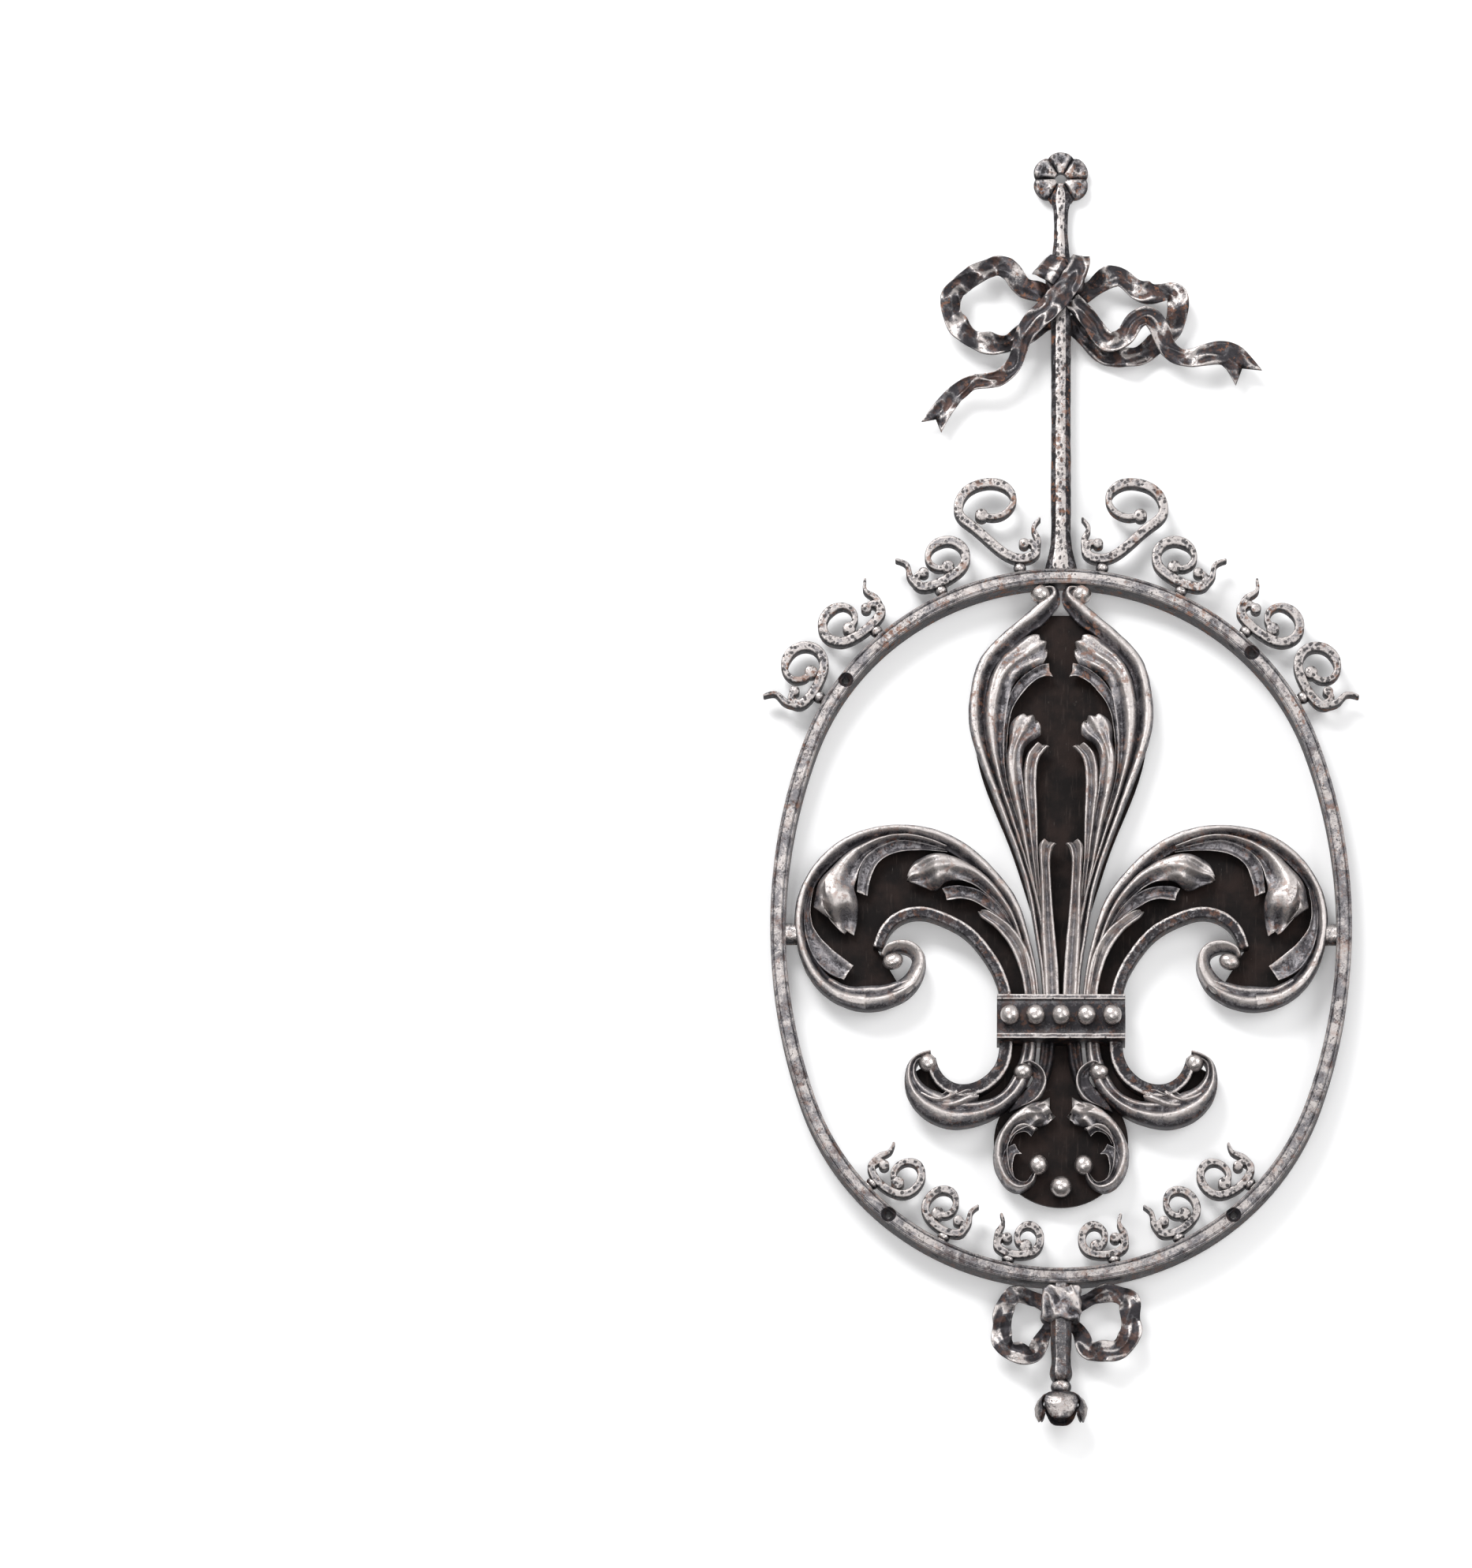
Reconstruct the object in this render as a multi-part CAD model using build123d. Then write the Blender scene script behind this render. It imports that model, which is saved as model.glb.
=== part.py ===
from build123d import *
from math import cos, hypot, pi, radians, sin, tan
import os

# Forged iron hanging sign: an oval rim around a fleur-de-lis of leaf strips gathered in a
# beaded collar, a hammered stem with a rosette and a ribbon bow above, scroll cresting
# outside and inside the rim, and a bow with a flower drop below.
# X runs to the right, Z up, and the front faces -Y. Depths are measured forward from the wall.
# The origin is the centre of the rosette's hole, on the wall plane.

# Oval rim, laid out from two end arcs and two side arcs
oval_width = 531.0
oval_height = 683.0
oval_side_radius = 528.0
rim_face = 14.0
rim_depth = 24.0
rim_chamfer = 1.2
rim_groove_width = 1.3
rim_groove_depth = 0.8
rim_groove_inset = 2.8
rim_joint_rise = 24.0

# Screw holes in the rim: angles from the vertical about the end arcs' centres
screw_bore = 6.5
screw_head = 13.4
upper_screw_angles = (-54.4, 46.2)
lower_screw_angle = 40.0

# Rosette and stem
rosette_width = 54.0
rosette_thickness = 10.0
rosette_hole = 11.0
rosette_petals = 6
rosette_petal_width = 27.0
rosette_valley = 2.4
stem_length = 390.0
stem_width = 18.0
stem_neck_width = 13.0
stem_neck_depth = 11.0
stem_neck_z = -52.0
stem_foot_width = 30.0
stem_foot_height = 26.0
stem_forward = 12.0
stem_corner_share = 0.3

# Upper bow: ribbons drawn over the stem
ribbon_width = 19.0
ribbon_thickness = 3.0
fold_depth = 3.6
knot_width = 44.0
knot_height = 42.0
knot_top = -80.0
knot_back = 1.5
knot_front = 28.0
knot_rounding = 7.0
loop_folds = 7
front_notch = (236, 30)
back_notch = (-48, 34)

# Scroll cresting outside and inside the rim
crest_face = 8.5
base_face = 7.0
scroll_tip_face = 5.5
scroll_depth = 12.0
scroll_back = 6.0
scroll_eye = 12.0
crest_stud_angles = (8.5, 25.5, 41.5, 60.0)
crest_stud_reach = 11.0
base_stud_angles = (12.0, 27.5, 48.0)
base_stud_reach = 9.0
stud_ball = 12.0
stud_flange = 13.0
stud_tenon = 7.0
stud_seat = 0.5
stud_collar = 1.6
tenon_clearance = 0.1

# Fleur-de-lis: plates at the back, leaf strips and bars in front of them
plate_back = 5.0
plate_thickness = 3.0
bar_face = 10.5
bar_depth = 14.0
side_bead_width = 20.0
side_bead_gap = 6.5
side_bead_overlap = 5.5
base_gap = 61.0
foot_disc = 122.0
foot_neck_top = 34.0
foot_neck_bottom = 48.0
top_ball = 19.0
wing_ball = 19.0
petal_ball = 17.0
curl_ball = 18.0
foot_leaf_ball = 18.0
foot_ball = 20.0

# Beaded collar round the gathered strips
collar_height = 42.0
collar_wall = 3.0
collar_front = 8.0
collar_fillet = 2.6
collar_fillet_height = 5.0
collar_ball = 18.5
collar_ball_pitch = 23.2
collar_ball_seat = 0.34
collar_balls = 5
collar_rivet = 6.0
collar_fit = 0.2

# Drop under the rim
drop_stem_width = 18.5
drop_stem_length = 90.0
drop_knot_width = 39.0
drop_knot_height = 35.0
drop_knot_depth = 29.0
drop_knot_gap = 1.5
drop_knot_rounding = 6.0
drop_forward = 15.0
drop_folds = 6
drop_fold_depth = 2.6
stem_seat = 2.0
neck_bead_width = 18.5
neck_bead_height = 11.0
flower_width = 49.0
flower_height = 29.0
flower_depth = 34.0
flower_forward = 17.5
petal_thickness = 3.0
flower_petals = 4
petal_gap_share = 0.8
cup_floor = 5.0
cup_shoulder = (0.8, 0.2)
cup_belly = 0.62
cup_lip = 0.86
cup_base = 1.6
bead_top_share = 0.6
bead_foot_share = 0.75

# Places that follow from the sizes above
half_width = oval_width / 2
half_height = oval_height / 2
end_radius = (2 * oval_side_radius * half_width - half_width**2 - half_height**2) / (
    2 * (oval_side_radius - half_height)
)
end_offset = half_height - end_radius
oval_z = -stem_length - half_height
upper_arc_z = oval_z + end_offset
lower_arc_z = oval_z - end_offset
rim_top = oval_z + half_height
rim_bottom = oval_z - half_height
inner_top = rim_top - rim_face
inner_half_width = half_width - rim_face
rim_middle_radius = end_radius - rim_face / 2
scroll_middle = scroll_back + scroll_depth / 2
plate_front = plate_back + plate_thickness

# The fleur-de-lis is drawn from the rim's inner top, 245 wide each way and 594 deep,
# and is stretched to the rim that holds it
drawn_reach = 245.0
drawn_drop = 594.0
fleur_stretch_x = (inner_half_width - side_bead_gap) / drawn_reach
fleur_stretch_z = (oval_height - 2 * rim_face - base_gap) / drawn_drop


def fleur(rows):
    """Rows of x, z and further values, with the places stretched to the rim."""
    return [(x * fleur_stretch_x, inner_top + z * fleur_stretch_z, *rest) for x, z, *rest in rows]


def front_plane(forward):
    return Plane(origin=(0, -forward, 0), x_dir=(1, 0, 0), z_dir=(0, -1, 0))


def slab(face, back, depth):
    return extrude(front_plane(back) * face, depth).solid()


def largest(shape):
    return max(shape.solids(), key=lambda solid: solid.volume)


def trim(piece, *neighbours):
    for neighbour in neighbours:
        piece = piece - neighbour
    return largest(piece)


def fused(pieces):
    body = pieces[0]
    for piece in pieces[1:]:
        body = body + piece
    return largest(body)


def both_sides(piece):
    return piece, mirror(piece, about=Plane.YZ).solid()


def places(rows):
    return [(row[0], row[1]) for row in rows]


def value_at(rows, column, t):
    """Value of a column at the share t of the way along the rows' places."""
    steps = [hypot(after[0] - row[0], after[1] - row[1]) for row, after in zip(rows, rows[1:])]
    reach = t * sum(steps)
    for row, after, step in zip(rows, rows[1:], steps):
        if reach <= step:
            return row[column] + (after[column] - row[column]) * reach / step
        reach -= step
    return rows[-1][column]


def strip(rows, back, depth, stations=24):
    """Flat bar that follows rows of x, z and width."""
    path = Spline(places(rows))
    left, right = [], []
    for index in range(stations + 1):
        t = index / stations
        place, way = path @ t, path % t
        side = Vector(-way.Y, way.X) * (value_at(rows, 2, t) / 2)
        left.append(place + side)
        right.append(place - side)
    outline = [Spline(left), Line(left[-1], right[-1]), Spline(right), Line(right[0], left[0])]
    return slab(make_face(outline), back, depth)


# Sections of a leaf: across from -1 to 1, and rise from 0 at the back to 1 at the crown
leaf_section = ((-1, 0), (-1, 0.45), (-0.62, 0.95), (-0.2, 0.62), (0.2, 1.0), (0.7, 0.8), (1, 0.35), (1, 0))
bead_section = ((-1, 0), (-1, 0.5), (-0.5, 1.0), (0.3, 0.9), (0.6, 0.6), (1, 0.7), (1, 0))


def relief(rows, section, stations):
    """Modelled strip in front of the plates that follows rows of x, z, width and rise."""
    path = Spline([(x, -plate_front, z) for x, z in places(rows)])
    rings = []
    for index in range(stations + 1):
        t = index / stations
        place, way = path @ t, path % t
        side = Vector(-way.Z, 0, way.X) * (value_at(rows, 2, t) / 2)
        rise = Vector(0, -value_at(rows, 3, t), 0)
        rings.append(Wire.make_polygon([place + side * u + rise * v for u, v in section], close=True))
    return Solid.make_loft(rings, ruled=True)


def ribbon(rows, folds, depth, stations):
    """Ribbon along rows of x, z, width and distance forward, waving to and fro in its folds."""
    path = Spline(places(rows))
    half = Vector(0, -ribbon_thickness / 2, 0)
    rings = []
    for index in range(stations + 1):
        t = index / stations
        place, way = path @ t, path % t
        side = Vector(-way.Y, 0, way.X) * (value_at(rows, 2, t) / 2)
        forward = value_at(rows, 3, t) + depth * sin(2 * pi * folds * t)
        centre = Vector(place.X, -forward, place.Y)
        corners = [centre + side - half, centre + side + half, centre - side + half, centre - side - half]
        rings.append(Wire.make_polygon(corners, close=True))
    return Solid.make_loft(rings, ruled=True)


def ball(x, z, forward, diameter):
    return Pos(x, -forward, z) * Sphere(diameter / 2)


# Rim
def oval_face(inset):
    """The oval of four arcs, moved in by the inset."""
    reach = hypot(oval_side_radius - half_width, end_offset)
    share_x = (oval_side_radius - half_width) / reach
    share_z = end_offset / reach
    x = share_x * (end_radius - inset)
    z = end_offset + share_z * (end_radius - inset)
    arcs = [
        ThreePointArc((-x, z), (0, half_height - inset), (x, z)),
        ThreePointArc((x, z), (half_width - inset, 0), (x, -z)),
        ThreePointArc((x, -z), (0, -half_height + inset), (-x, -z)),
        ThreePointArc((-x, -z), (-half_width + inset, 0), (-x, z)),
    ]
    return Pos(0, oval_z) * make_face(arcs)


def arc_place(angle, radius, upper):
    """Point on an end arc: its place and the outward direction there."""
    turn = radians(angle)
    rise = 1 if upper else -1
    out = Vector(sin(turn), 0, rise * cos(turn))
    centre = Vector(0, 0, upper_arc_z if upper else lower_arc_z)
    return centre + out * radius, out


def screw_hole(angle, upper):
    place, _ = arc_place(angle, rim_middle_radius, upper)
    front = Plane(origin=(place.X, -rim_depth, place.Z), z_dir=(0, 1, 0))
    start = (Align.CENTER, Align.CENTER, Align.MIN)
    sink = Cone(screw_head / 2, screw_bore / 2, (screw_head - screw_bore) / 2, align=start)
    return front * (sink + Cylinder(screw_bore / 2, rim_depth, align=start))


def tenon_hole(angle, upper):
    place, out = arc_place(angle, rim_middle_radius, upper)
    axis = Plane(origin=(place.X, -scroll_middle, place.Z), z_dir=out)
    return axis * Cylinder(stud_tenon / 2 + tenon_clearance, rim_face * 2)


def make_rim():
    ring = slab(oval_face(0) - oval_face(rim_face), 0, rim_depth)
    front_edges = ring.faces().sort_by(Axis.Y)[0].edges()
    ring = chamfer(front_edges, rim_chamfer)
    for inset in (rim_groove_inset, rim_face - rim_groove_inset - rim_groove_width):
        groove = oval_face(inset) - oval_face(inset + rim_groove_width)
        ring -= slab(groove, rim_depth - rim_groove_depth, rim_groove_depth)
    for angle in upper_screw_angles:
        ring -= screw_hole(angle, True)
    for side in (-1, 1):
        ring -= screw_hole(side * lower_screw_angle, False)
        for angle in crest_stud_angles:
            ring -= tenon_hole(side * angle, True)
        for angle in base_stud_angles:
            ring -= tenon_hole(side * angle, False)
    joint_z = oval_z + rim_joint_rise
    room = 2 * oval_height
    upper_room = Pos(0, 0, joint_z + room / 2) * Box(room, room, room)
    return largest(ring & upper_room), largest(ring - upper_room)


# Stem and rosette, one forging
def make_stem():
    petal_radius = rosette_petal_width / 2
    petal_ring = rosette_width / 2 - petal_radius
    disc = Circle(petal_ring)
    for index in range(rosette_petals):
        turn = radians(90 + 360 * index / rosette_petals)
        disc += Pos(petal_ring * cos(turn), petal_ring * sin(turn)) * Circle(petal_radius)
    rosette = slab(disc, 0, rosette_thickness)
    for index in range(rosette_petals):
        turn = 60 + 360 * index / rosette_petals
        valley = Rot(0, -turn, 0) * Pos(rosette_width / 3, -rosette_thickness, 0) * Rot(45, 0, 0)
        rosette -= valley * Box(rosette_width / 3, rosette_valley, rosette_valley)
    foot_start = -stem_length + stem_foot_height
    half_rosette = rosette_thickness / 2
    stations = (
        (-rosette_width / 4, stem_neck_width * 1.3, rosette_thickness * 0.9, half_rosette),
        (stem_neck_z * 0.65, stem_neck_width, stem_neck_depth, half_rosette * 1.3),
        (stem_neck_z * 1.3, stem_neck_width * 1.1, stem_neck_depth * 1.2, stem_forward * 0.8),
        (knot_top, stem_width * 0.9, stem_width * 0.9, stem_forward),
        (knot_top - knot_height, stem_width, stem_width, stem_forward),
        (foot_start, stem_width, stem_width, stem_forward),
        (foot_start - stem_foot_height / 2, stem_width * 1.25, stem_width * 1.1, stem_forward),
        (-stem_length - stem_seat, stem_foot_width, rim_depth * 0.8, stem_forward),
    )
    rings = []
    for z, width, depth, forward in stations:
        level = Plane(origin=(0, -forward, z), z_dir=(0, 0, -1))
        corner = stem_corner_share * min(width, depth)
        rings.append((level * chamfer(Rectangle(width, depth).vertices(), corner)).wire())
    shank = Solid.make_loft(rings, ruled=True)
    hole = Pos(0, -rosette_thickness / 2, 0) * Rot(90, 0, 0)
    return largest(rosette + shank - hole * Cylinder(rosette_hole / 2, rosette_thickness * 3))


# Upper bow. The loops' rows hold x, z and distance forward, the tails' rows a width before it
bow_left_loop = (
    (-12, -118, 12), (-32, -112, 15), (-47, -96, 14), (-60, -89, 15), (-77, -98, 14), (-94, -108, 13),
    (-102, -125, 15), (-97, -147, 16), (-82, -161, 14), (-62, -166, 10), (-38, -158, 7), (-8, -138, 9),
)
bow_right_loop = (
    (10, -122, 12), (27, -113, 14), (42, -103, 15), (55, -101, 14), (70, -112, 13), (87, -117, 14),
    (103, -115, 15), (109, -130, 13), (102, -151, 11), (80, -171, 8), (52, -178, 7), (28, -163, 7),
    (8, -138, 9),
)
bow_front_tail = (
    (17, -84, 24, 29.5), (14, -104, 30, 29.5), (1, -122, 27, 29.5), (-14, -138, 24, 28),
    (-29, -150, 22, 26), (-38, -167, 19, 21), (-43, -187, 17, 17), (-58, -204, 16, 18),
    (-80, -207, 15, 16), (-98, -219, 17, 12), (-121, -248, 20, 9),
)
bow_back_tail = (
    (10, -126, 18, 20), (30, -150, 19, 18), (45, -167, 19, 17), (58, -163, 18, 22), (68, -147, 18, 26),
    (80, -142, 18, 26), (90, -151, 18, 22), (98, -171, 17, 18), (112, -182, 16, 17), (132, -180, 19, 19),
    (152, -177, 24, 17), (174, -201, 30, 13),
)


def with_width(rows):
    return [(x, z, ribbon_width, forward) for x, z, forward in rows]


def notch(tip, turn, depth):
    """Wedge that cuts a swallowtail into a ribbon's end, opening in the direction turn."""
    wedge = Polygon((-depth, 0), (depth, depth * 0.55), (depth, -depth * 0.55), align=None)
    return slab(Pos(tip[0], tip[1]) * Rot(0, 0, turn) * wedge, -knot_front, 3 * knot_front)


def make_bow(stem):
    block = Box(knot_width, knot_front - knot_back, knot_height)
    block = fillet(block.edges(), knot_rounding)
    knot = Pos(0, -(knot_front + knot_back) / 2, knot_top - knot_height / 2) * block
    knot = largest(knot - stem)
    left = ribbon(with_width(bow_left_loop), loop_folds, fold_depth, 56)
    right = ribbon(with_width(bow_right_loop), loop_folds, fold_depth, 56)
    front = ribbon(bow_front_tail, 0, 0, 34) - notch(bow_front_tail[-1], *front_notch)
    back = ribbon(bow_back_tail, 0, 0, 34) - notch(bow_back_tail[-1], *back_notch)
    front = trim(front, knot, stem)
    back = trim(back, knot, stem, front)
    left = trim(left, knot, stem, front)
    right = trim(right, knot, stem, front, back)
    return knot, left, right, front, back


# Scroll cresting: each scroll is drawn along the rim, s millimetres round it and h out from it
def on_arc(s, h, upper, inside):
    radius = end_radius - rim_face if inside else end_radius
    turn = s / radius
    reach = radius - h if inside else radius + h
    rise = 1 if upper else -1
    centre = upper_arc_z if upper else lower_arc_z
    return reach * sin(turn), centre + rise * reach * cos(turn)


def curved(points, widths, upper):
    """Rows of x, z and width for points given round the rim."""
    return [(*on_arc(s, h, upper, not upper), width) for (s, h), width in zip(points, widths)]


def scroll_points(foot, facing, radius, rise, lean, curl, base):
    """One scroll drawn along the rim: a small curl, the foot over its stud, then a spiral."""
    points = []
    for index in range(5):
        turn = radians(70 + 50 * index)
        size = curl * (0.7 + 0.3 * index / 4)
        points.append((size * cos(turn) - curl, base + curl + size * sin(turn)))
    start = -90 if rise <= radius else -50
    for index in range(9):
        turn = radians(start + 45 * index)
        size = radius * (1 - 0.5 * index / 8)
        points.append((lean + size * cos(turn), base + rise + size * sin(turn)))
    return [(foot + facing * s, h) for s, h in points]


def sprout_points(foot, facing, radius, rise, lean, curl, base):
    """Short tapering leaf that springs from the small curl and leans away from it."""
    points = ((-2.0, 0.9), (-2.1, 2.1), (-1.8, 3.2), (-2.5, 4.4))
    return [(foot + facing * u * curl, base + v * curl) for u, v in points]


def make_scroll(foot_angle, upper, shape, stud):
    radius_there = end_radius if upper else end_radius - rim_face
    foot = radians(foot_angle) * radius_there
    reach = crest_stud_reach if upper else base_stud_reach
    face_width = crest_face if upper else base_face
    base = reach - stud_seat + face_width / 2
    widths = [scroll_tip_face] * 2 + [face_width] * 8 + [scroll_tip_face] * 4
    line = curved(scroll_points(foot, *shape, base), widths, upper)
    sprout_widths = (scroll_tip_face, scroll_tip_face, scroll_tip_face * 0.7, scroll_tip_face * 0.4)
    sprout = curved(sprout_points(foot, *shape, base), sprout_widths, upper)
    small_eye = slab(Pos(*places(line)[0]) * Circle(scroll_eye * 0.4), scroll_back, scroll_depth)
    large_eye = slab(Pos(*places(line)[-1]) * Circle(scroll_eye / 2), scroll_back, scroll_depth)
    pieces = [
        strip(line, scroll_back, scroll_depth, 48),
        strip(sprout, scroll_back, scroll_depth, 8),
        small_eye,
        large_eye,
    ]
    return trim(fused(pieces), stud)


def make_stud(angle, upper):
    """Ball stud with its tenon through the rim, riveted flush on the far side."""
    reach = crest_stud_reach if upper else base_stud_reach
    wall = end_radius if upper else end_radius - rim_face
    place, out = arc_place(angle, wall, upper)
    axis = out if upper else -out
    seat = tenon_clearance
    waist = (stud_ball * 0.36, stud_collar * 1.5)
    outline = [
        Line((0, -rim_face), (stud_tenon / 2, -rim_face)),
        Line((stud_tenon / 2, -rim_face), (stud_tenon / 2, seat)),
        Line((stud_tenon / 2, seat), (stud_flange / 2, seat)),
        Line((stud_flange / 2, seat), (stud_flange / 2, stud_collar)),
        Line((stud_flange / 2, stud_collar), waist),
        ThreePointArc(waist, (stud_ball / 2, reach * 0.6), (stud_ball * 0.3, reach)),
        Line((stud_ball * 0.3, reach), (0, reach)),
        Line((0, reach), (0, -rim_face)),
    ]
    stud = revolve(Plane.XZ * make_face(outline), Axis.Z)
    return (Plane(origin=(place.X, -scroll_middle, place.Z), z_dir=axis) * stud).solid()


# Shape of each scroll: facing, spiral radius, rise, lean and radius of the small curl
crest_shapes = ((1, 25, 58, 14, 8.5), (-1, 20, 20, 14, 8.5), (1, 20, 20, 16, 8.5), (-1, 21, 21, 15, 8.5))
base_shapes = ((-1, 16, 16, 14, 7.5), (1, 19, 19, 16, 7.5), (-1, 20, 20, 17, 7.5))


def make_cresting(upper):
    angles = crest_stud_angles if upper else base_stud_angles
    shapes = crest_shapes if upper else base_shapes
    scrolls, studs = [], []
    for angle, shape in zip(angles, shapes):
        stud = make_stud(angle, upper)
        scroll = make_scroll(angle, upper, shape, stud)
        if scrolls:
            scroll = trim(scroll, scrolls[-1][1])
        studs += both_sides(stud)
        scrolls.append(both_sides(scroll)[::-1])
    return scrolls, studs


# Fleur-de-lis, right half, drawn from the rim's inner top: rows of x, z, width and rise
centre_margin = (
    (10, -419, 13, 14), (11, -390, 13, 14), (18, -348, 12, 14), (32, -298, 12, 15), (48, -248, 12, 16),
    (67, -200, 12, 16), (78, -158, 12, 16), (79.5, -128, 12, 16), (75, -100, 12, 16), (66, -80, 12, 16),
    (54, -62, 11, 16), (38, -47, 10, 16), (22, -36, 9, 16), (9, -27, 8, 16), (3.4, -18, 6, 16),
    (6, -8, 5, 16), (14, -4.6, 6, 16),
)
centre_upper_lobe = (
    (40, -288, 8, 14), (52, -238, 12, 15), (62, -188, 15, 16), (64, -143, 18, 17), (61, -108, 24, 19),
    (52, -85, 30, 22), (38, -70, 36, 25), (25, -68, 42, 26), (13, -73, 38, 17),
)
centre_middle_lobe = (
    (24, -318, 10, 15), (31, -278, 14, 17), (37, -238, 20, 19), (41, -198, 26, 22), (41, -168, 28, 25),
    (36, -150, 30, 26), (27, -144, 26, 17),
)
centre_low_lobe = (
    (9, -345, 9, 15), (13, -305, 12, 17), (16, -275, 16, 19), (14, -257, 18, 16),
)

wing_margin = (
    (27.5, -419, 13, 14), (28, -396, 13, 14), (34, -360, 14, 15), (42, -330, 15, 16), (51, -306, 15, 16),
    (63, -287, 16, 16), (81, -269, 17, 17), (104, -252, 17, 17), (127, -243, 17, 17), (150, -240, 17, 17),
    (173, -244, 17, 17), (195, -255, 17, 17), (213, -270, 17, 17), (225, -287, 17, 17),
    (233, -306, 17, 16), (236.5, -327, 17, 16), (235, -348, 17, 16), (230, -366, 17, 16),
    (221, -381, 17, 16), (208, -392, 18, 16), (191, -400, 18, 17), (174, -402, 17, 18),
    (158, -397, 14, 18), (146, -386, 11, 18), (138, -372, 9, 18), (139, -358, 8, 18), (149, -350, 9, 18),
    (159, -354, 10, 18),
)
wing_hanging_lobe = (
    (110, -264, 10, 15), (140, -258, 14, 17), (165, -262, 20, 19), (183, -276, 26, 22),
    (194, -295, 33, 25), (198, -314, 36, 25), (196, -332, 26, 15),
)
wing_side_lobe = (
    (135, -262, 8, 15), (156, -266, 10, 16), (170, -281, 11, 16), (178, -300, 11, 14),
)
wing_inner_lobe = (
    (39, -370, 10, 15), (44, -340, 14, 17), (55, -315, 18, 19), (70, -296, 22, 22), (90, -281, 27, 25),
    (110, -275, 33, 26), (127, -281, 28, 15),
)
wing_second_lobe = (
    (50, -335, 10, 15), (64, -316, 14, 18), (82, -304, 14, 18), (103, -300, 12, 14),
)
wing_third_lobe = (
    (41, -372, 10, 15), (47, -350, 13, 17), (57, -335, 13, 17), (73, -320, 9, 13),
)

side_bar = (
    (118, -457, 8), (115, -469, 10), (106, -481, 11), (92, -487, 12), (77, -485, 12), (62, -475, 12),
    (53, -461, 12), (50, -444, 12), (50, -420, 12), (50.5, -398, 11), (56, -377, 10.5), (69, -354, 10.5),
    (86, -335, 10.5), (107, -323, 10.5), (128, -317, 10.5), (148, -322, 10.5), (161, -335, 10),
    (167, -351, 9),
)

petal_margin = (
    (29, -421, 13, 14), (29, -448, 13, 14), (36, -473, 15, 16), (51, -491, 18, 18), (71, -503, 22, 20),
    (96, -508, 26, 22), (118, -501, 22, 20), (132, -486, 15, 18), (137, -468, 11, 17), (131, -454, 9, 17),
    (121, -451, 9, 17),
)
petal_lobe = (
    (62, -500, 8, 16), (76, -494, 12, 18), (90, -489, 13, 18), (101, -487, 9, 13),
)

tail_strip = (
    (11, -421, 12, 13), (12, -447, 12, 12), (17, -470, 11, 10), (24, -492, 12, 10),
)
curl_line = (
    (20, -494, 7, 17), (21, -476, 6, 18), (26, -462, 6, 18), (36, -458, 7, 18),
)
foot_leaf = (
    (20, -495, 16, 16), (34, -501, 22, 18), (47, -515, 19, 18), (54, -535, 15, 17), (54, -556, 14, 16),
    (46, -573, 14, 16), (33, -580, 12, 16), (22, -574, 9, 16), (20, -563, 7, 16),
)
foot_upper_lobe = (
    (46, -508, 10, 17), (32, -507, 20, 20), (15, -513, 15, 14),
)
foot_lower_lobe = (
    (54, -536, 8, 16), (46, -542, 12, 17), (38, -547, 8, 13),
)

top_ball_place = (18.5, -9.7)
wing_ball_place = (156.5, -364)
petal_ball_place = (121, -460)
curl_ball_place = (38, -468)
foot_leaf_ball_place = (20.5, -557)
foot_ball_place = (0, -577)
plate_disc_centre = (0, -533)
side_bead_place = (245, -336)
collar_place = (50, -420)


def lobe(rows, stations=10):
    return relief(fleur(rows), leaf_section, stations)


def placed_ball(place, diameter, seat):
    """Ball whose centre stands the share seat of its diameter in front of the plates."""
    x, z = fleur([place])[0]
    return ball(x, z, plate_front + diameter * seat, diameter)


def make_centre_leaf(rim):
    bead_outside = tuple((-u, v) for u, v in bead_section)
    margin = relief(fleur(centre_margin), bead_outside, 34)
    lobes = [lobe(centre_upper_lobe, 14), lobe(centre_middle_lobe, 12), lobe(centre_low_lobe, 8)]
    left_half = Pos(-half_width, 0, 0) * Box(oval_width, oval_width, 4 * oval_height)
    leaf = trim(fused([margin] + lobes), rim, left_half)
    end = placed_ball(top_ball_place, top_ball, 0.55)
    return leaf, trim(end, rim, leaf)


def make_wing_leaf():
    margin = relief(fleur(wing_margin), bead_section, 60)
    return fused([margin, lobe(wing_hanging_lobe, 12), lobe(wing_side_lobe, 8)])


def make_wing_inner_leaf():
    return fused([lobe(wing_inner_lobe, 12), lobe(wing_second_lobe, 8), lobe(wing_third_lobe, 8)])


def make_foot_leaf():
    leaf = relief(fleur(foot_leaf), bead_section, 24)
    return fused([leaf, lobe(foot_upper_lobe, 8), lobe(foot_lower_lobe, 6)])


def plate_between(first, second):
    """Back plate whose edge runs out along the first line and back along the second."""
    edges = [Spline(first), Line(first[-1], second[0]), Spline(second), Line(second[-1], first[0])]
    return slab(make_face(edges), plate_back, plate_thickness)


def make_centre_plate():
    right = places(fleur(centre_margin[:-3]))
    left = [(-x, z) for x, z in right][::-1]
    return plate_between(right, left)


def make_foot_plate():
    x, z = fleur([plate_disc_centre])[0]
    disc = slab(Pos(x, z) * Circle(foot_disc / 2), plate_back, plate_thickness)
    top = fleur([collar_place])[0][1] - plate_thickness
    bottom = z + foot_disc / 4
    corners = (
        (foot_neck_top / 2, top),
        (foot_neck_bottom / 2, bottom),
        (-foot_neck_bottom / 2, bottom),
        (-foot_neck_top / 2, top),
    )
    neck = slab(make_face(Polyline(*corners, close=True)), plate_back, plate_thickness)
    return fused([disc, neck])


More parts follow.
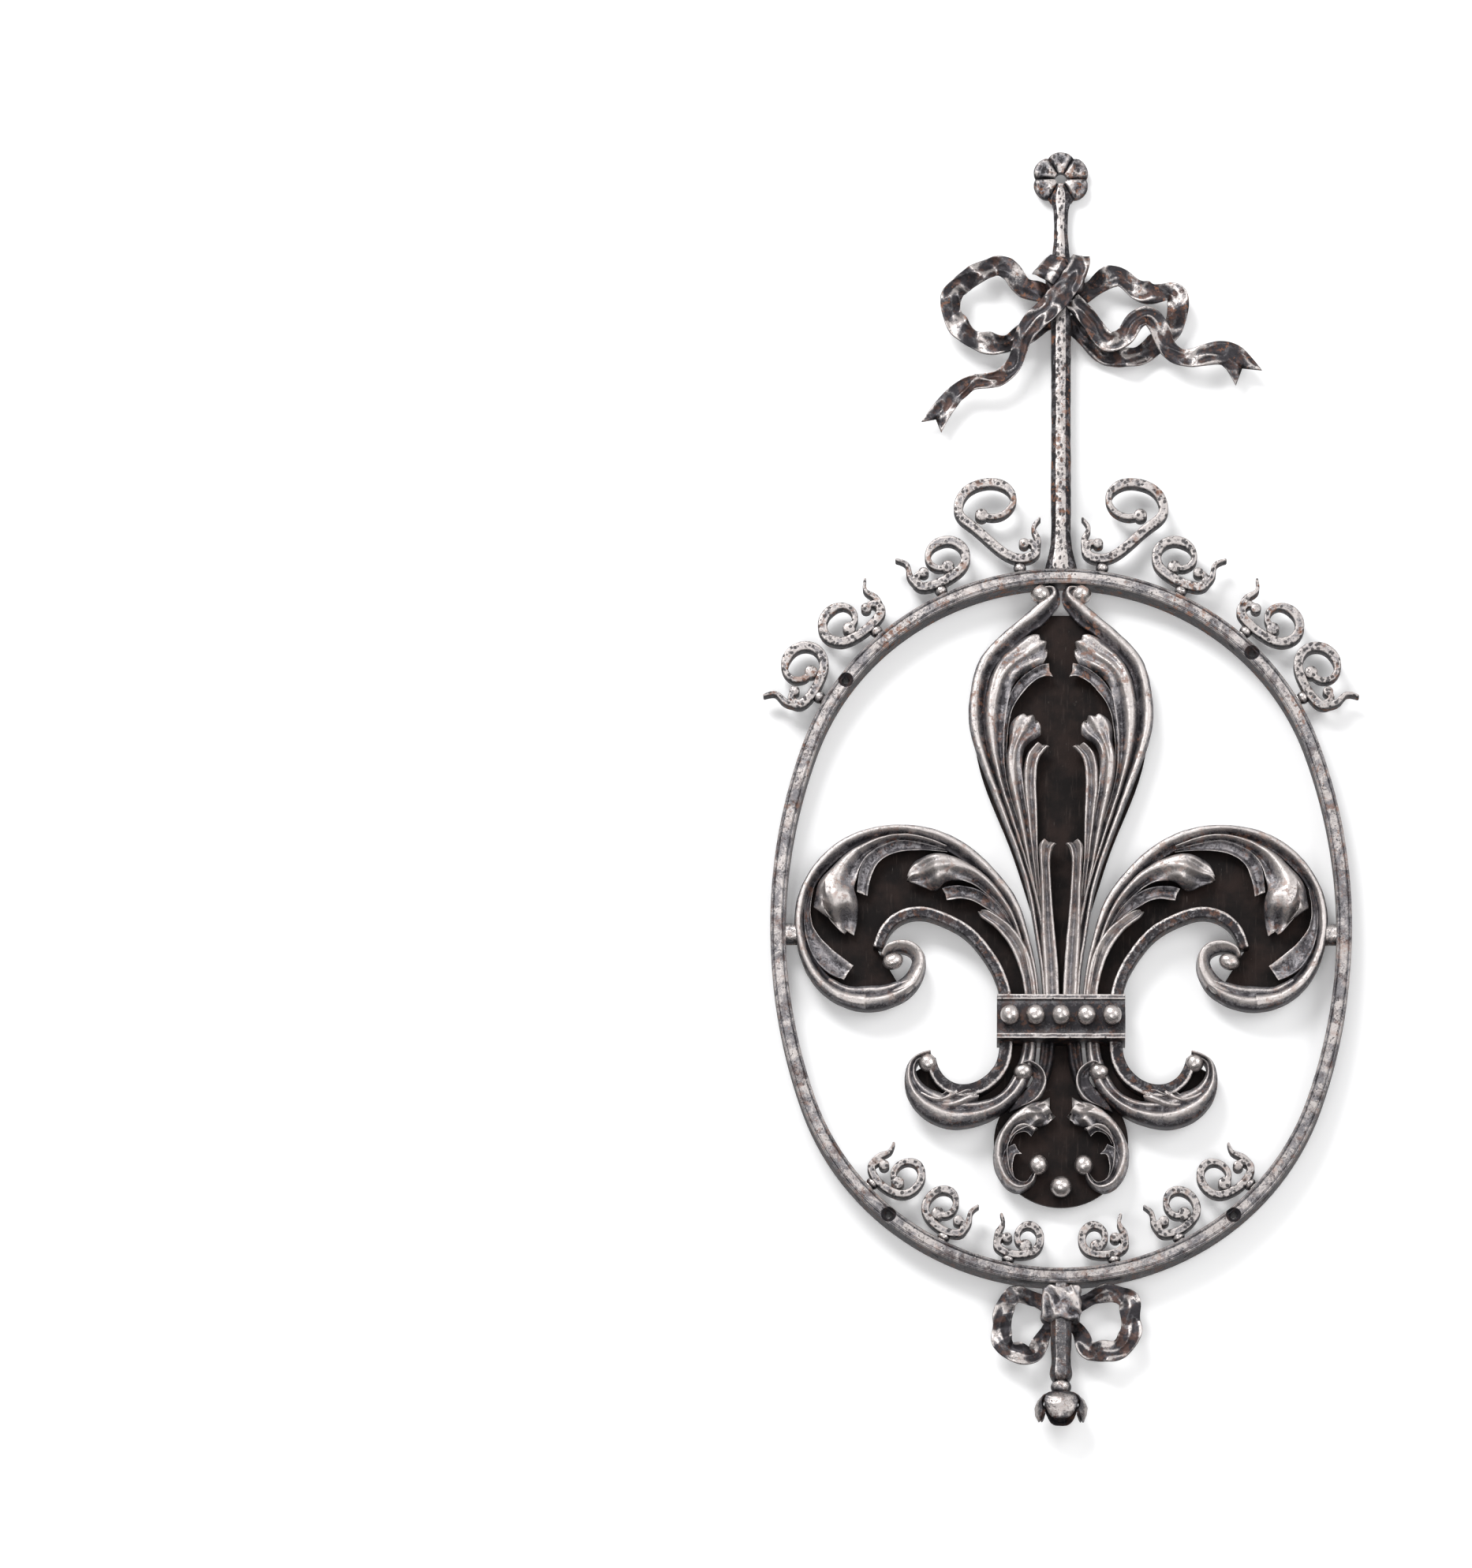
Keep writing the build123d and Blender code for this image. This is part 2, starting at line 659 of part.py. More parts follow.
def make_side_bead():
    """Short barrel let into the rim's inner edge, against which the wing leaf bears."""
    _, z = fleur([side_bead_place])[0]
    reach = inner_half_width - side_bead_gap - side_bead_overlap
    start = (Align.CENTER, Align.CENTER, Align.MIN)
    barrel = Cylinder(side_bead_width / 2, half_width - rim_face / 2 - reach, align=start)
    return Plane(origin=(reach, -stem_forward, z), z_dir=(1, 0, 0)) * barrel


# Collar and its balls
def make_collar():
    """Box band round the strips and plates, filleted along its front edges, and its balls."""
    x, z = fleur([collar_place])[0]
    half_inner = x + bar_face / 2 + collar_fit
    inner_back = plate_back - collar_fit
    inner_front = plate_front + bar_depth + collar_fit
    back = inner_back - collar_wall
    front = inner_front + collar_front
    width = 2 * (half_inner + collar_wall)
    band = Pos(0, -(front + back) / 2, z) * Box(width, front - back, collar_height)
    for side in (-1, 1):
        edge_z = z + side * (collar_height - collar_fillet_height) / 2
        edge_bar = Box(width, collar_fillet, collar_fillet_height)
        band += Pos(0, -front - collar_fillet / 2, edge_z) * edge_bar
    cavity = Box(2 * half_inner, inner_front - inner_back, 2 * collar_height)
    band -= Pos(0, -(inner_front + inner_back) / 2, z) * cavity
    balls = []
    for index in range(collar_balls):
        place = (index - (collar_balls - 1) / 2) * collar_ball_pitch
        middle = Pos(place, -front + collar_front / 2, z)
        shank = middle * Rot(90, 0, 0) * Cylinder(collar_rivet / 2, collar_front)
        band -= shank
        balls.append(make_collar_ball(place, z, front, shank))
    return largest(band), balls


def make_collar_ball(x, z, front, shank):
    """Ball flattened where it seats on the collar, with its rivet shank."""
    head = ball(x, z, front + collar_ball * collar_ball_seat, collar_ball)
    room = 2 * collar_ball
    head -= Pos(x, -front + room / 2, z) * Box(room, room, room)
    return largest(head + shank)


# Drop under the rim. The loop's rows hold x, depth under the rim, width and distance forward
drop_loop = (
    (12, -20, 12, 10), (30, -12, 14, 9), (48, -10, 16, 11), (60, -17, 18, 14), (64, -34, 18, 15),
    (62, -52, 18, 14), (52, -65, 18, 15), (36, -69, 18, 14), (22, -62, 17, 12), (14, -40, 12, 9),
    (8, -28, 10, 9),
)


def make_drop(rim):
    octagon = RegularPolygon(drop_stem_width / 2 / cos(pi / 8), 8, rotation=22.5)
    top = Plane(origin=(0, -drop_forward, rim_bottom + stem_seat))
    stem = trim(extrude(top * octagon, -(drop_stem_length + stem_seat)).solid(), rim)
    block = Box(drop_knot_width, drop_knot_depth, drop_knot_height)
    block = fillet(block.edges(), drop_knot_rounding)
    knot_z = rim_bottom - drop_knot_gap - drop_knot_height / 2
    knot = trim(Pos(0, -drop_forward, knot_z) * block, rim, stem)
    rows = [(x, rim_bottom + z, width, forward) for x, z, width, forward in drop_loop]
    loop = trim(ribbon(rows, drop_folds, drop_fold_depth, 44), knot, stem, rim)
    return stem, knot, loop


def make_flower():
    """Neck bead and four cupped petals round a hollow."""
    top = rim_bottom - drop_stem_length
    half = neck_bead_width / 2
    head, foot = half * bead_top_share, half * bead_foot_share
    bead_line = [
        Line((0, 0), (head, 0)),
        ThreePointArc((head, 0), (half, -neck_bead_height * bead_top_share), (foot, -neck_bead_height)),
        Line((foot, -neck_bead_height), (0, -neck_bead_height)),
        Line((0, -neck_bead_height), (0, 0)),
    ]
    bead = revolve(Plane.XZ * make_face(bead_line), Axis.Z)
    bead = Pos(0, -drop_forward, top) * bead
    outer = flower_width / 2
    inner = outer - petal_thickness
    height = flower_height
    lip, floor = outer * cup_lip, -petal_thickness * cup_base
    reach, fall = cup_shoulder
    cup_line = [
        Line((0, 0), (cup_floor, 0)),
        Spline([(cup_floor, 0), (outer * reach, -height * fall), (outer, -height * cup_belly), (lip, -height)]),
        Line((lip, -height), (lip - petal_thickness, -height)),
        Spline([(lip - petal_thickness, -height), (inner, -height * cup_belly),
                (inner * reach, -height * fall - petal_thickness), (0, floor)]),
        Line((0, floor), (0, 0)),
    ]
    cup = revolve(Plane.XZ * make_face(cup_line), Axis.Z)
    petals = []
    gap = tan(pi / flower_petals) * petal_gap_share
    for index in range(flower_petals):
        turn = 360 * index / flower_petals
        wedge = Polygon((0, 0), (outer * 2, -outer * 2 * gap), (outer * 2, outer * 2 * gap), align=None)
        room = extrude(Plane(origin=(0, 0, 1)) * Rot(0, 0, turn) * wedge, -2 * height)
        petals.append(cup & room)
    place = Pos(0, -flower_forward, top - neck_bead_height)
    flatten = (1, flower_depth / flower_width, 1)
    return bead.solid(), [trim(place * scale(petal, by=flatten), bead) for petal in petals]


def save(name, *solids):
    shape = solids[0] if len(solids) == 1 else Compound(children=list(solids))
    export_step(shape, f"parts/{name}.step")


def save_pair(name, right):
    save(f"{name}_left", both_sides(right)[1])
    save(f"{name}_right", right)


def save_together(name, right):
    save(name, *both_sides(right))


def save_rim_and_stem():
    """The rim's upper part is two arcs that butt under the stem's foot."""
    upper, lower = make_rim()
    stem = trim(make_stem(), upper)
    save("rim_upper_left", split(upper, Plane.YZ, Keep.BOTTOM).solid())
    save("rim_upper_right", split(upper, Plane.YZ, Keep.TOP).solid())
    save("rim_lower", lower)
    save("stem_and_rosette", stem)
    knot, left, right, front, back = make_bow(stem)
    save("bow_knot", knot)
    save("bow_loop_left", left)
    save("bow_loop_right", right)
    save("bow_tail_front", front)
    save("bow_tail_back", back)
    return upper, lower


def save_cresting():
    for upper, name in ((True, "crest"), (False, "base")):
        scrolls, studs = make_cresting(upper)
        for index, (left, right) in enumerate(scrolls, start=1):
            save(f"{name}_scroll_left_{index}", left)
            save(f"{name}_scroll_right_{index}", right)
        save(f"{name}_studs", *studs)


def save_upper_leaves(upper, lower):
    leaf, top_end = make_centre_leaf(upper)
    wing = trim(make_wing_leaf(), leaf)
    wing_end = trim(placed_ball(wing_ball_place, wing_ball, 0.6), wing)
    bar = trim(strip(fleur(side_bar), plate_front, bar_depth, 60), wing, wing_end)
    inner = trim(make_wing_inner_leaf(), wing, bar, leaf)
    centre_plate = make_centre_plate()
    wing_edge = places(fleur(wing_margin[:-4]))
    bar_edge = places(fleur(side_bar[9:]))[::-1]
    wing_plate = trim(plate_between(wing_edge, bar_edge), centre_plate)
    save_pair("centre_leaf", leaf)
    save_together("top_balls", top_end)
    save_pair("wing_leaf", wing)
    save_pair("wing_inner_leaf", inner)
    save_together("wing_balls", trim(wing_end, wing_plate))
    save_pair("side_bar", bar)
    save_together("side_beads", trim(make_side_bead(), upper, lower, wing))
    save("centre_plate", centre_plate)
    save_pair("wing_plate", wing_plate)
    return bar


def save_lower_leaves(bar):
    petal = fused([relief(fleur(petal_margin), leaf_section, 26), lobe(petal_lobe, 8)])
    petal = trim(petal, bar)
    petal_end = trim(placed_ball(petal_ball_place, petal_ball, 0.6), petal, bar)
    tail = trim(lobe(tail_strip, 12), petal)
    foot = trim(make_foot_leaf(), petal, tail)
    curl = trim(lobe(curl_line, 12), petal, tail, foot)
    curl_end = trim(placed_ball(curl_ball_place, curl_ball, 0.6), petal, curl)
    foot_plate = make_foot_plate()
    foot_end = trim(placed_ball(foot_leaf_ball_place, foot_leaf_ball, 0.5), foot, foot_plate)
    bottom_end = placed_ball(foot_ball_place, foot_ball, 0.42)
    petal_edge = places(fleur(petal_margin[:-2]))
    petal_plate = trim(plate_between(petal_edge, places(fleur(side_bar[:8]))), foot_plate)
    save_pair("petal_leaf", petal)
    save_together("petal_balls", trim(petal_end, petal_plate))
    save_together("tail_strips", tail)
    save_pair("foot_leaf", foot)
    save_together("foot_curls", curl)
    save_together("foot_curl_balls", trim(curl_end, petal_plate, foot_plate))
    save_together("foot_leaf_balls", foot_end)
    save("foot_ball", trim(bottom_end, foot_plate, *both_sides(foot), *both_sides(foot_end)))
    save_pair("petal_plate", petal_plate)
    save("foot_plate", foot_plate)


def save_collar_and_drop(lower, bar):
    collar, rivets = make_collar()
    save("collar", trim(collar, *both_sides(bar)))
    save("collar_balls", *rivets)
    stem, knot, loop = make_drop(lower)
    save("drop_stem", stem)
    save("drop_knot", knot)
    save_pair("drop_bow_loop", loop)
    bead, petals = make_flower()
    save("drop_neck_bead", bead)
    save("flower_petals", *petals)


os.makedirs("parts", exist_ok=True)
upper_rim, lower_rim = save_rim_and_stem()
save_cresting()
side_bar_right = save_upper_leaves(upper_rim, lower_rim)
save_lower_leaves(side_bar_right)
save_collar_and_drop(lower_rim, side_bar_right)
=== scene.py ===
import bpy
import math
import numpy as np
from mathutils import Euler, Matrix, Quaternion, Vector, noise


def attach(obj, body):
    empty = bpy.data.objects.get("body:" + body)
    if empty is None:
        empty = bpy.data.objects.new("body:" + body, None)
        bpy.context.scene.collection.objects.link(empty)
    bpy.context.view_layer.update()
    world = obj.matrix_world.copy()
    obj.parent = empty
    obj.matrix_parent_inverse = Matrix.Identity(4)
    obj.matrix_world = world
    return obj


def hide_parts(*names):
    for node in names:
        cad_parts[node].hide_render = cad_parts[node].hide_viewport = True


# Looks of the forged iron sign: leaves, bars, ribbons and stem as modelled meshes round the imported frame.
# Point lists are in millimetres, X right, Z up, depth measured forward from the wall, as the frame has them.

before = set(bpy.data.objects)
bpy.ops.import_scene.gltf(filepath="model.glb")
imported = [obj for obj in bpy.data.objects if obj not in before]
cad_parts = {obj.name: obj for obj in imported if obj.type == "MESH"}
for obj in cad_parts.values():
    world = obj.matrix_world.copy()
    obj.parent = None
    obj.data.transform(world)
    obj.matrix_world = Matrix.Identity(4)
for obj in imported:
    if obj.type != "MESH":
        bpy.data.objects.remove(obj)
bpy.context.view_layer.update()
mm = 0.001


# Rim oval and the places that follow from it
rimOval = {"width": 531.0, "height": 683.0, "sideRadius": 528.0, "face": 14.0, "depth": 24.0}
stemLength = 390.0
halfWidth = rimOval["width"] / 2
halfHeight = rimOval["height"] / 2
endRadius = (2 * rimOval["sideRadius"] * halfWidth - halfWidth ** 2 - halfHeight ** 2) / (
    2 * (rimOval["sideRadius"] - halfHeight)
)
endOffset = halfHeight - endRadius
ovalZ = -stemLength - halfHeight
rimBottom = ovalZ - halfHeight
innerTop = -stemLength - rimOval["face"]
plateFront = 8.0
wearSize = 9.0
# Leaf rows are drawn to this reach and drop, and stretched to the rim's opening less these gaps
drawn = {"reach": 245.0, "drop": 594.0, "sideGap": 6.5, "endGap": 61.0}
stretchX = (halfWidth - rimOval["face"] - drawn["sideGap"]) / drawn["reach"]
stretchZ = (rimOval["height"] - 2 * rimOval["face"] - drawn["endGap"]) / drawn["drop"]


# Curves and grids
def smoothStep(low, high, value):
    share = np.clip((value - low) / (high - low), 0.0, 1.0)
    return share * share * (3 - 2 * share)


def bump(centre, reach, value):
    return np.exp(-((value - centre) / reach) ** 2)


# Cubic through the values, straight at both ends
def naturalCubic(knots, values, at):
    count = len(knots)
    step = np.diff(knots)
    matrix = np.eye(count)
    right = np.zeros((count, values.shape[1]))
    for i in range(1, count - 1):
        matrix[i, i - 1:i + 2] = step[i - 1], 2 * (step[i - 1] + step[i]), step[i]
        right[i] = 6 * ((values[i + 1] - values[i]) / step[i] - (values[i] - values[i - 1]) / step[i - 1])
    second = np.linalg.solve(matrix, right)
    i = np.clip(np.searchsorted(knots, at) - 1, 0, count - 2)
    gone, left, span = (at - knots[i])[:, None], (knots[i + 1] - at)[:, None], step[i][:, None]
    curved = (second[i] * left ** 3 + second[i + 1] * gone ** 3) / (6 * span)
    return curved + (values[i] / span - second[i] * span / 6) * left + (
        values[i + 1] / span - second[i + 1] * span / 6) * gone


# Dense line through rows of x, z and more: shares, places, sides and the other columns
def along(rows, count=400):
    rows = np.array(rows, float)
    knots = np.concatenate([[0], np.cumsum(np.hypot(*np.diff(rows[:, :2], axis=0).T))])
    at = np.linspace(0, knots[-1], count)
    places = naturalCubic(knots, rows[:, :2], at)
    way = np.gradient(places, axis=0)
    way /= np.linalg.norm(way, axis=1)[:, None]
    sides = np.stack([-way[:, 1], way[:, 0]], axis=1)
    others = np.stack([np.interp(at, knots, column) for column in rows[:, 2:].T], axis=1)
    soften = np.ones(9) / 9
    padded = np.pad(others, ((4, 4), (0, 0)), mode="edge")
    others = np.stack([np.convolve(column, soften, "valid") for column in padded.T], axis=1)
    return at / knots[-1], places, sides, others, knots[-1]


def atShares(shares, table, wanted):
    return np.stack([np.interp(wanted, shares, column) for column in table.T], axis=-1)


# Smooth height across a section from given points of place and height
def profile(points, wanted):
    points = np.array(points, float)
    return naturalCubic(points[:, 0], points[:, 1:2], np.clip(wanted.ravel(), points[0, 0], points[-1, 0])
                        ).reshape(wanted.shape)


# Hand-worked unevenness: moves points to and fro by noise of that size
def roughen(points, size, depth, seed=0.0):
    flat = points.reshape(-1, 3)
    places = flat / size + np.array([seed, 0.0, 0.0])
    shift = np.array([noise.noise_vector(Vector(place)) for place in places])
    return points + (shift * depth).reshape(points.shape)


def fromWall(x, forward, z):
    return np.stack([x, -forward, z], axis=-1)


# Collects closed grids in millimetres, each with a value per point for worn brightness and painted light and
# shade, for one piece
class MeshParts:
    def __init__(self):
        self.points, self.faces, self.polishAndShading, self.count = [], [], [], 0

    def add(self, grid, polishAndShading, capEnds=True):
        rows, across = grid.shape[:2]
        index = np.arange(rows * across).reshape(rows, across) + self.count
        after = np.roll(index, -1, axis=1)
        quads = np.stack([index[:-1], after[:-1], after[1:], index[1:]], axis=-1).reshape(-1, 4)
        self.faces += quads.tolist()
        self.points.append(grid.reshape(-1, 3))
        self.polishAndShading.append(np.broadcast_to(polishAndShading, (rows, across)).reshape(-1))
        self.count += rows * across
        if capEnds:
            for row, turn in ((0, True), (rows - 1, False)):
                centre = grid[row].mean(axis=0)
                self.points.append(centre[None])
                gridPolishAndShading = self.polishAndShading[-1 if row == 0 else -2]
                self.polishAndShading.append(np.array([gridPolishAndShading[row * across:][:across].mean()]))
                ring = index[row]
                for k in range(across):
                    pair = [int(ring[k]), int(ring[(k + 1) % across])]
                    if turn:
                        pair.reverse()
                    self.faces.append([*pair, self.count])
                self.count += 1

    def arrays(self):
        return np.concatenate(self.points), self.faces, np.concatenate(self.polishAndShading)


# One piece from its grids, on the right side or mirrored to the left
def makePiece(name, parts, material, nodes, side=1, wear=0.0):
    points, faces, polishAndShading = parts.arrays()
    if side < 0:
        points = points * np.array([-1, 1, 1])
        faces = [face[::-1] for face in faces]
    if wear:
        points = roughen(points, wearSize, wear)
    mesh = bpy.data.meshes.new(name)
    mesh.from_pydata((points * mm).tolist(), [], faces)
    mesh.update()
    layer = mesh.attributes.new("polishAndShading", "FLOAT", "POINT")
    layer.data.foreach_set("value", polishAndShading.astype(np.float32))
    mesh.shade_smooth()
    piece = bpy.data.objects.new(name, mesh)
    bpy.context.scene.collection.objects.link(piece)
    mesh.materials.append(material)
    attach(piece, "root")
    if nodes:
        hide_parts(*nodes)


def makePair(name, parts, material, nodes, wear=0.0):
    for side, word in ((1, "right"), (-1, "left")):
        own = [f"{node}_{word}" for node in nodes]
        makePiece(f"{name}_{word}", parts, material, own, side, wear)


# A piece with its mirror image in one mesh, for small things that share a node
def makeTogether(name, parts, material, nodes, wear=0.0):
    points, faces, polishAndShading = parts.arrays()
    whole = MeshParts()
    whole.points = [points, points * np.array([-1, 1, 1])]
    whole.faces = faces + [[k + len(points) for k in face[::-1]] for face in faces]
    whole.polishAndShading = [polishAndShading, polishAndShading]
    makePiece(name, whole, material, nodes, wear=wear)


print("helpers ready")


# Shader maths: a node's output, with operators that add Math nodes
class Wire:
    def __init__(self, shader, socket):
        self.shader, self.socket = shader, socket

    def math(self, operation, *others, clamp=False):
        values = dict(enumerate((self, *others)))
        return self.shader.add("ShaderNodeMath", {"operation": operation, "use_clamp": clamp}, values)

    def __add__(self, other):
        return self.math("ADD", other)

    def __sub__(self, other):
        return self.math("SUBTRACT", other)

    def __mul__(self, other):
        return self.math("MULTIPLY", other)

    def __rsub__(self, other):
        return self.shader.add("ShaderNodeMath", {"operation": "SUBTRACT"}, {0: other, 1: self})

    __radd__ = __add__
    __rmul__ = __mul__

    def clamped(self):
        return self.math("ADD", 0.0, clamp=True)

    # Smooth change from start to end as the value goes from low to high
    def ramp(self, low, high, start=0.0, end=1.0):
        settings = {"interpolation_type": "SMOOTHSTEP"}
        return self.shader.add("ShaderNodeMapRange", settings, {0: self, 1: low, 2: high, 3: start, 4: end})


# The nodes of a material or of the world
class Shader:
    def __init__(self, owner):
        owner.use_nodes = True
        self.owner, self.tree = owner, owner.node_tree
        self.tree.nodes.clear()

    def add(self, kind, settings=None, sockets=None, output=0):
        node = self.tree.nodes.new(kind)
        for key, value in (settings or {}).items():
            setattr(node, key, value)
        for key, value in (sockets or {}).items():
            if isinstance(value, Wire):
                self.tree.links.new(value.socket, node.inputs[key])
            else:
                node.inputs[key].default_value = value
        return Wire(self, node.outputs[output]) if node.outputs else None

    # Colour between first and second
    def mix(self, factor, first, second):
        first, second = (value if isinstance(value, Wire) else (*value, 1.0) for value in (first, second))
        settings = {"data_type": "RGBA", "clamp_factor": True}
        return self.add("ShaderNodeMix", settings, {0: factor, 6: first, 7: second}, 2)

    # Object coordinates in millimetres, times a scale for each direction
    def place(self, scale):
        spot = self.add("ShaderNodeTexCoord", output=3)
        factors = tuple(1000.0 * value for value in scale)
        return self.add("ShaderNodeVectorMath", {"operation": "MULTIPLY"}, {0: spot, 1: factors})

    # Noise with features of about that many millimetres
    def noise(self, size, detail=3.0, rough=0.55, stretch=(1.0, 1.0, 1.0), twist=0.0):
        vector = self.place(tuple(value / size for value in stretch))
        values = {"Vector": vector, "Scale": 1.0, "Detail": detail, "Roughness": rough, "Distortion": twist}
        return self.add("ShaderNodeTexNoise", {"noise_dimensions": "3D"}, values)

    def cells(self, size, stretch):
        vector = self.place(tuple(value / size for value in stretch))
        return self.add("ShaderNodeTexVoronoi", {"feature": "F1"}, {"Vector": vector, "Scale": 1.0})

    # Worn brightness per point, with the painted light and shade that the grids put in
    def polishAndShading(self):
        return self.add("ShaderNodeAttribute", {"attribute_name": "polishAndShading"}, output=2)

    # 1 on what faces forward, 0 on sides and back: painted light, lit in front and in shade at the sides and
    # back
    def facing(self):
        forward = self.add("ShaderNodeSeparateXYZ", None, {0: self.add("ShaderNodeTexCoord", output=1)}, 1)
        return (0 - forward).ramp(0.3, 0.85)

    # X and Z in millimetres
    def spot(self):
        split = self.add("ShaderNodeSeparateXYZ", None, {0: self.place((1.0, 1.0, 1.0))})
        outputs = split.socket.node.outputs
        return Wire(self, outputs[0]), Wire(self, outputs[2])

    def bumped(self, height, distance, strength=1.0):
        values = {"Height": height, "Distance": distance * mm, "Strength": strength}
        return self.add("ShaderNodeBump", None, values)

    def surface(self, **values):
        names = {"base": "Base Color", "rough": "Roughness", "metal": "Metallic", "normal": "Normal",
                 "coat": "Coat Weight", "specular": "Specular IOR Level"}
        sockets = {names[key]: (*value, 1.0) if isinstance(value, tuple) else value
                   for key, value in values.items()}
        shader = self.add("ShaderNodeBsdfPrincipled", None, sockets)
        self.add("ShaderNodeOutputMaterial", None, {"Surface": shader})
        return self.owner


# Iron finishes
ironColours = {
    "bright": (0.50, 0.462, 0.448),
    "worn": (0.180, 0.173, 0.182),
    "dark": (0.029, 0.027, 0.030),
    "brown": (0.070, 0.038, 0.031),
    "rust": (0.25, 0.095, 0.04),
}
screwHoles = ((-197.595, -498.55), (175.398, -471.814), (-156.207, -1009.145), (156.207, -1009.145))


# Place across the rim's face: -1 at its inner edge, 1 at its outer edge
def acrossRim(shader):
    x, z = shader.spot()
    x, z = x.math("ABSOLUTE"), (z - ovalZ).math("ABSOLUTE")
    lean = rimOval["sideRadius"] - halfWidth
    above = z - endOffset
    atEnd = (above * lean - x * endOffset).math("GREATER_THAN", 0.0)
    end = (x * x + above * above).math("SQRT") - endRadius
    flank = ((x + lean) * (x + lean) + z * z).math("SQRT") - rimOval["sideRadius"]
    outward = flank + (end - flank) * atEnd
    return (outward + rimOval["face"] / 2) * (2 / rimOval["face"])


# Grooves, bright edges and dark countersinks of the rim
def rimWork(shader):
    across = acrossRim(shader).math("ABSOLUTE")
    groove = (across - 0.66).math("ABSOLUTE").ramp(0.13, 0.04)
    edge = across.ramp(0.84, 0.94)
    x, z = shader.spot()
    hole = 0.0
    for holeX, holeZ in screwHoles:
        away = ((x - holeX) * (x - holeX) + (z - holeZ) * (z - holeZ)).math("SQRT")
        hole = away.ramp(7.3, 6.3) + hole
    return edge * 0.25 - groove * 0.3 - hole * 1.5, groove


# Polished iron over dark scale, with painted light and shade in its brightness share, from the mesh's values
# or from facing. values holds what differs from finish to finish
def ironFinish(name, values, work=None):
    shader = Shader(bpy.data.materials.new(name))
    share = shader.polishAndShading() if values["byPolish"] else shader.facing() * values["base"]
    groove = None
    if work:
        change, groove = work(shader)
        share = share + change * shader.facing()
    ragged = shader.noise(values["patch"], 6.0, 0.68, twist=0.6).ramp(0.34, 0.66)
    fine = (shader.noise(1.6, 3.0, 0.65) - 0.5) * values["grit"]
    level = (share + (ragged - 0.62) * values["wander"] + fine * 0.8).clamped()
    cells = shader.cells(values["pitSize"], values["pitStretch"]) + (shader.noise(2.2, 2.0) - 0.5) * 0.3
    pitWhere = shader.noise(13.0, 2.0).ramp(values["pitLow"], values["pitLow"] + 0.1)
    pits = cells.ramp(values["pitReach"], values["pitReach"] - 0.12) * pitWhere
    specks = shader.noise(1.9, 2.0, 0.7).ramp(0.57, 0.64) * shader.noise(9.0, 3.0).ramp(0.42, 0.56)
    marks = (pits + specks * values["specks"]).clamped()
    dark, worn, bright = (tuple(part * values[key] for part in ironColours[tone])
                          for tone, key in (("dark", "deep"), ("worn", "mid"), ("bright", "dim")))
    colour = shader.mix(level.ramp(0.06, 0.44), dark, worn)
    colour = shader.mix(level.ramp(0.42, 0.8), colour, bright)
    brown = shader.noise(11.0, 4.0, 0.65).ramp(0.5, 0.62) * values["brown"] * level.ramp(0.9, 0.3, 0.25, 1.0)
    colour = shader.mix(brown, colour, ironColours["brown"])
    colour = shader.mix(marks * 0.85, colour, dark)
    height = shader.spot()[1]
    rustWhere = shader.noise(38.0, 2.0).ramp(0.42, 0.54) * height.ramp(-800.0, -420.0, 0.45, 1.0)
    rust = shader.noise(values["rustSize"], 5.0, 0.7).ramp(values["rustLow"], values["rustLow"] + 0.05)
    rust = rust * rustWhere
    colour = shader.mix(rust * 0.6, colour, ironColours["rust"])
    rough = level.ramp(0.0, 1.0, values["roughDark"], values["roughBright"])
    rough = (rough + marks * 0.2 + rust * 0.3 + fine * 0.2).clamped()
    metal = (0.92 - rust * 0.8 - marks * 0.3 - brown * 0.4).clamped()
    relief = fine * 0.3 - marks * values["pitDepth"] - rust * 0.1 + (ragged - 0.5) * 0.18
    relief = relief + (shader.noise(6.0, 2.0) - 0.5) * values["hammer"]
    if groove:
        relief = relief - groove * 0.5
    normal = shader.bumped(relief, 1.0, 0.8)
    return shader.surface(base=colour, rough=rough, metal=metal, normal=normal)


def finishValues(**changes):
    values = {
        "deep": 1.0, "mid": 1.0, "dim": 1.0,  # shares of the dark, worn and bright colours
        "patch": 11.0, "wander": 0.5, "grit": 1.0,  # size and strength of worn patches, and fine unevenness
        "byPolish": True, "base": 0.7,  # worn brightness with painted light and shade from the mesh, or this much on all that faces forward, which is painted light
        "pitSize": 4.2, "pitStretch": (1.0, 1.0, 0.6), "pitLow": 0.52, "pitReach": 0.3, "pitDepth": 0.3,
        "specks": 0.8, "brown": 0.4, "rustSize": 7.0, "rustLow": 0.55, "hammer": 0.35,
        "roughDark": 0.58, "roughBright": 0.42,
    }
    values.update(changes)
    return values


leafIron = ironFinish("leafIron", finishValues(
    deep=1.7, mid=1.3, dim=0.95, wander=0.42, pitLow=0.7, pitReach=0.2, pitSize=3.0, pitDepth=0.2, specks=0.6,
    brown=0.2, rustLow=0.54))
barIron = ironFinish("barIron", finishValues(pitLow=0.55, pitReach=0.26, wander=0.5, patch=6.0, mid=0.65))
crestIron = ironFinish("crestIron", finishValues(
    pitLow=0.3, pitReach=0.42, pitSize=4.0, pitStretch=(0.85, 0.85, 0.85), wander=0.4, brown=0.25, dim=0.82,
    deep=1.2))
stemIron = ironFinish("stemIron", finishValues(
    pitLow=0.26, pitReach=0.4, pitSize=4.0, pitStretch=(1.0, 1.0, 0.6), wander=0.5, pitDepth=0.4, brown=0.4,
    dim=0.84))
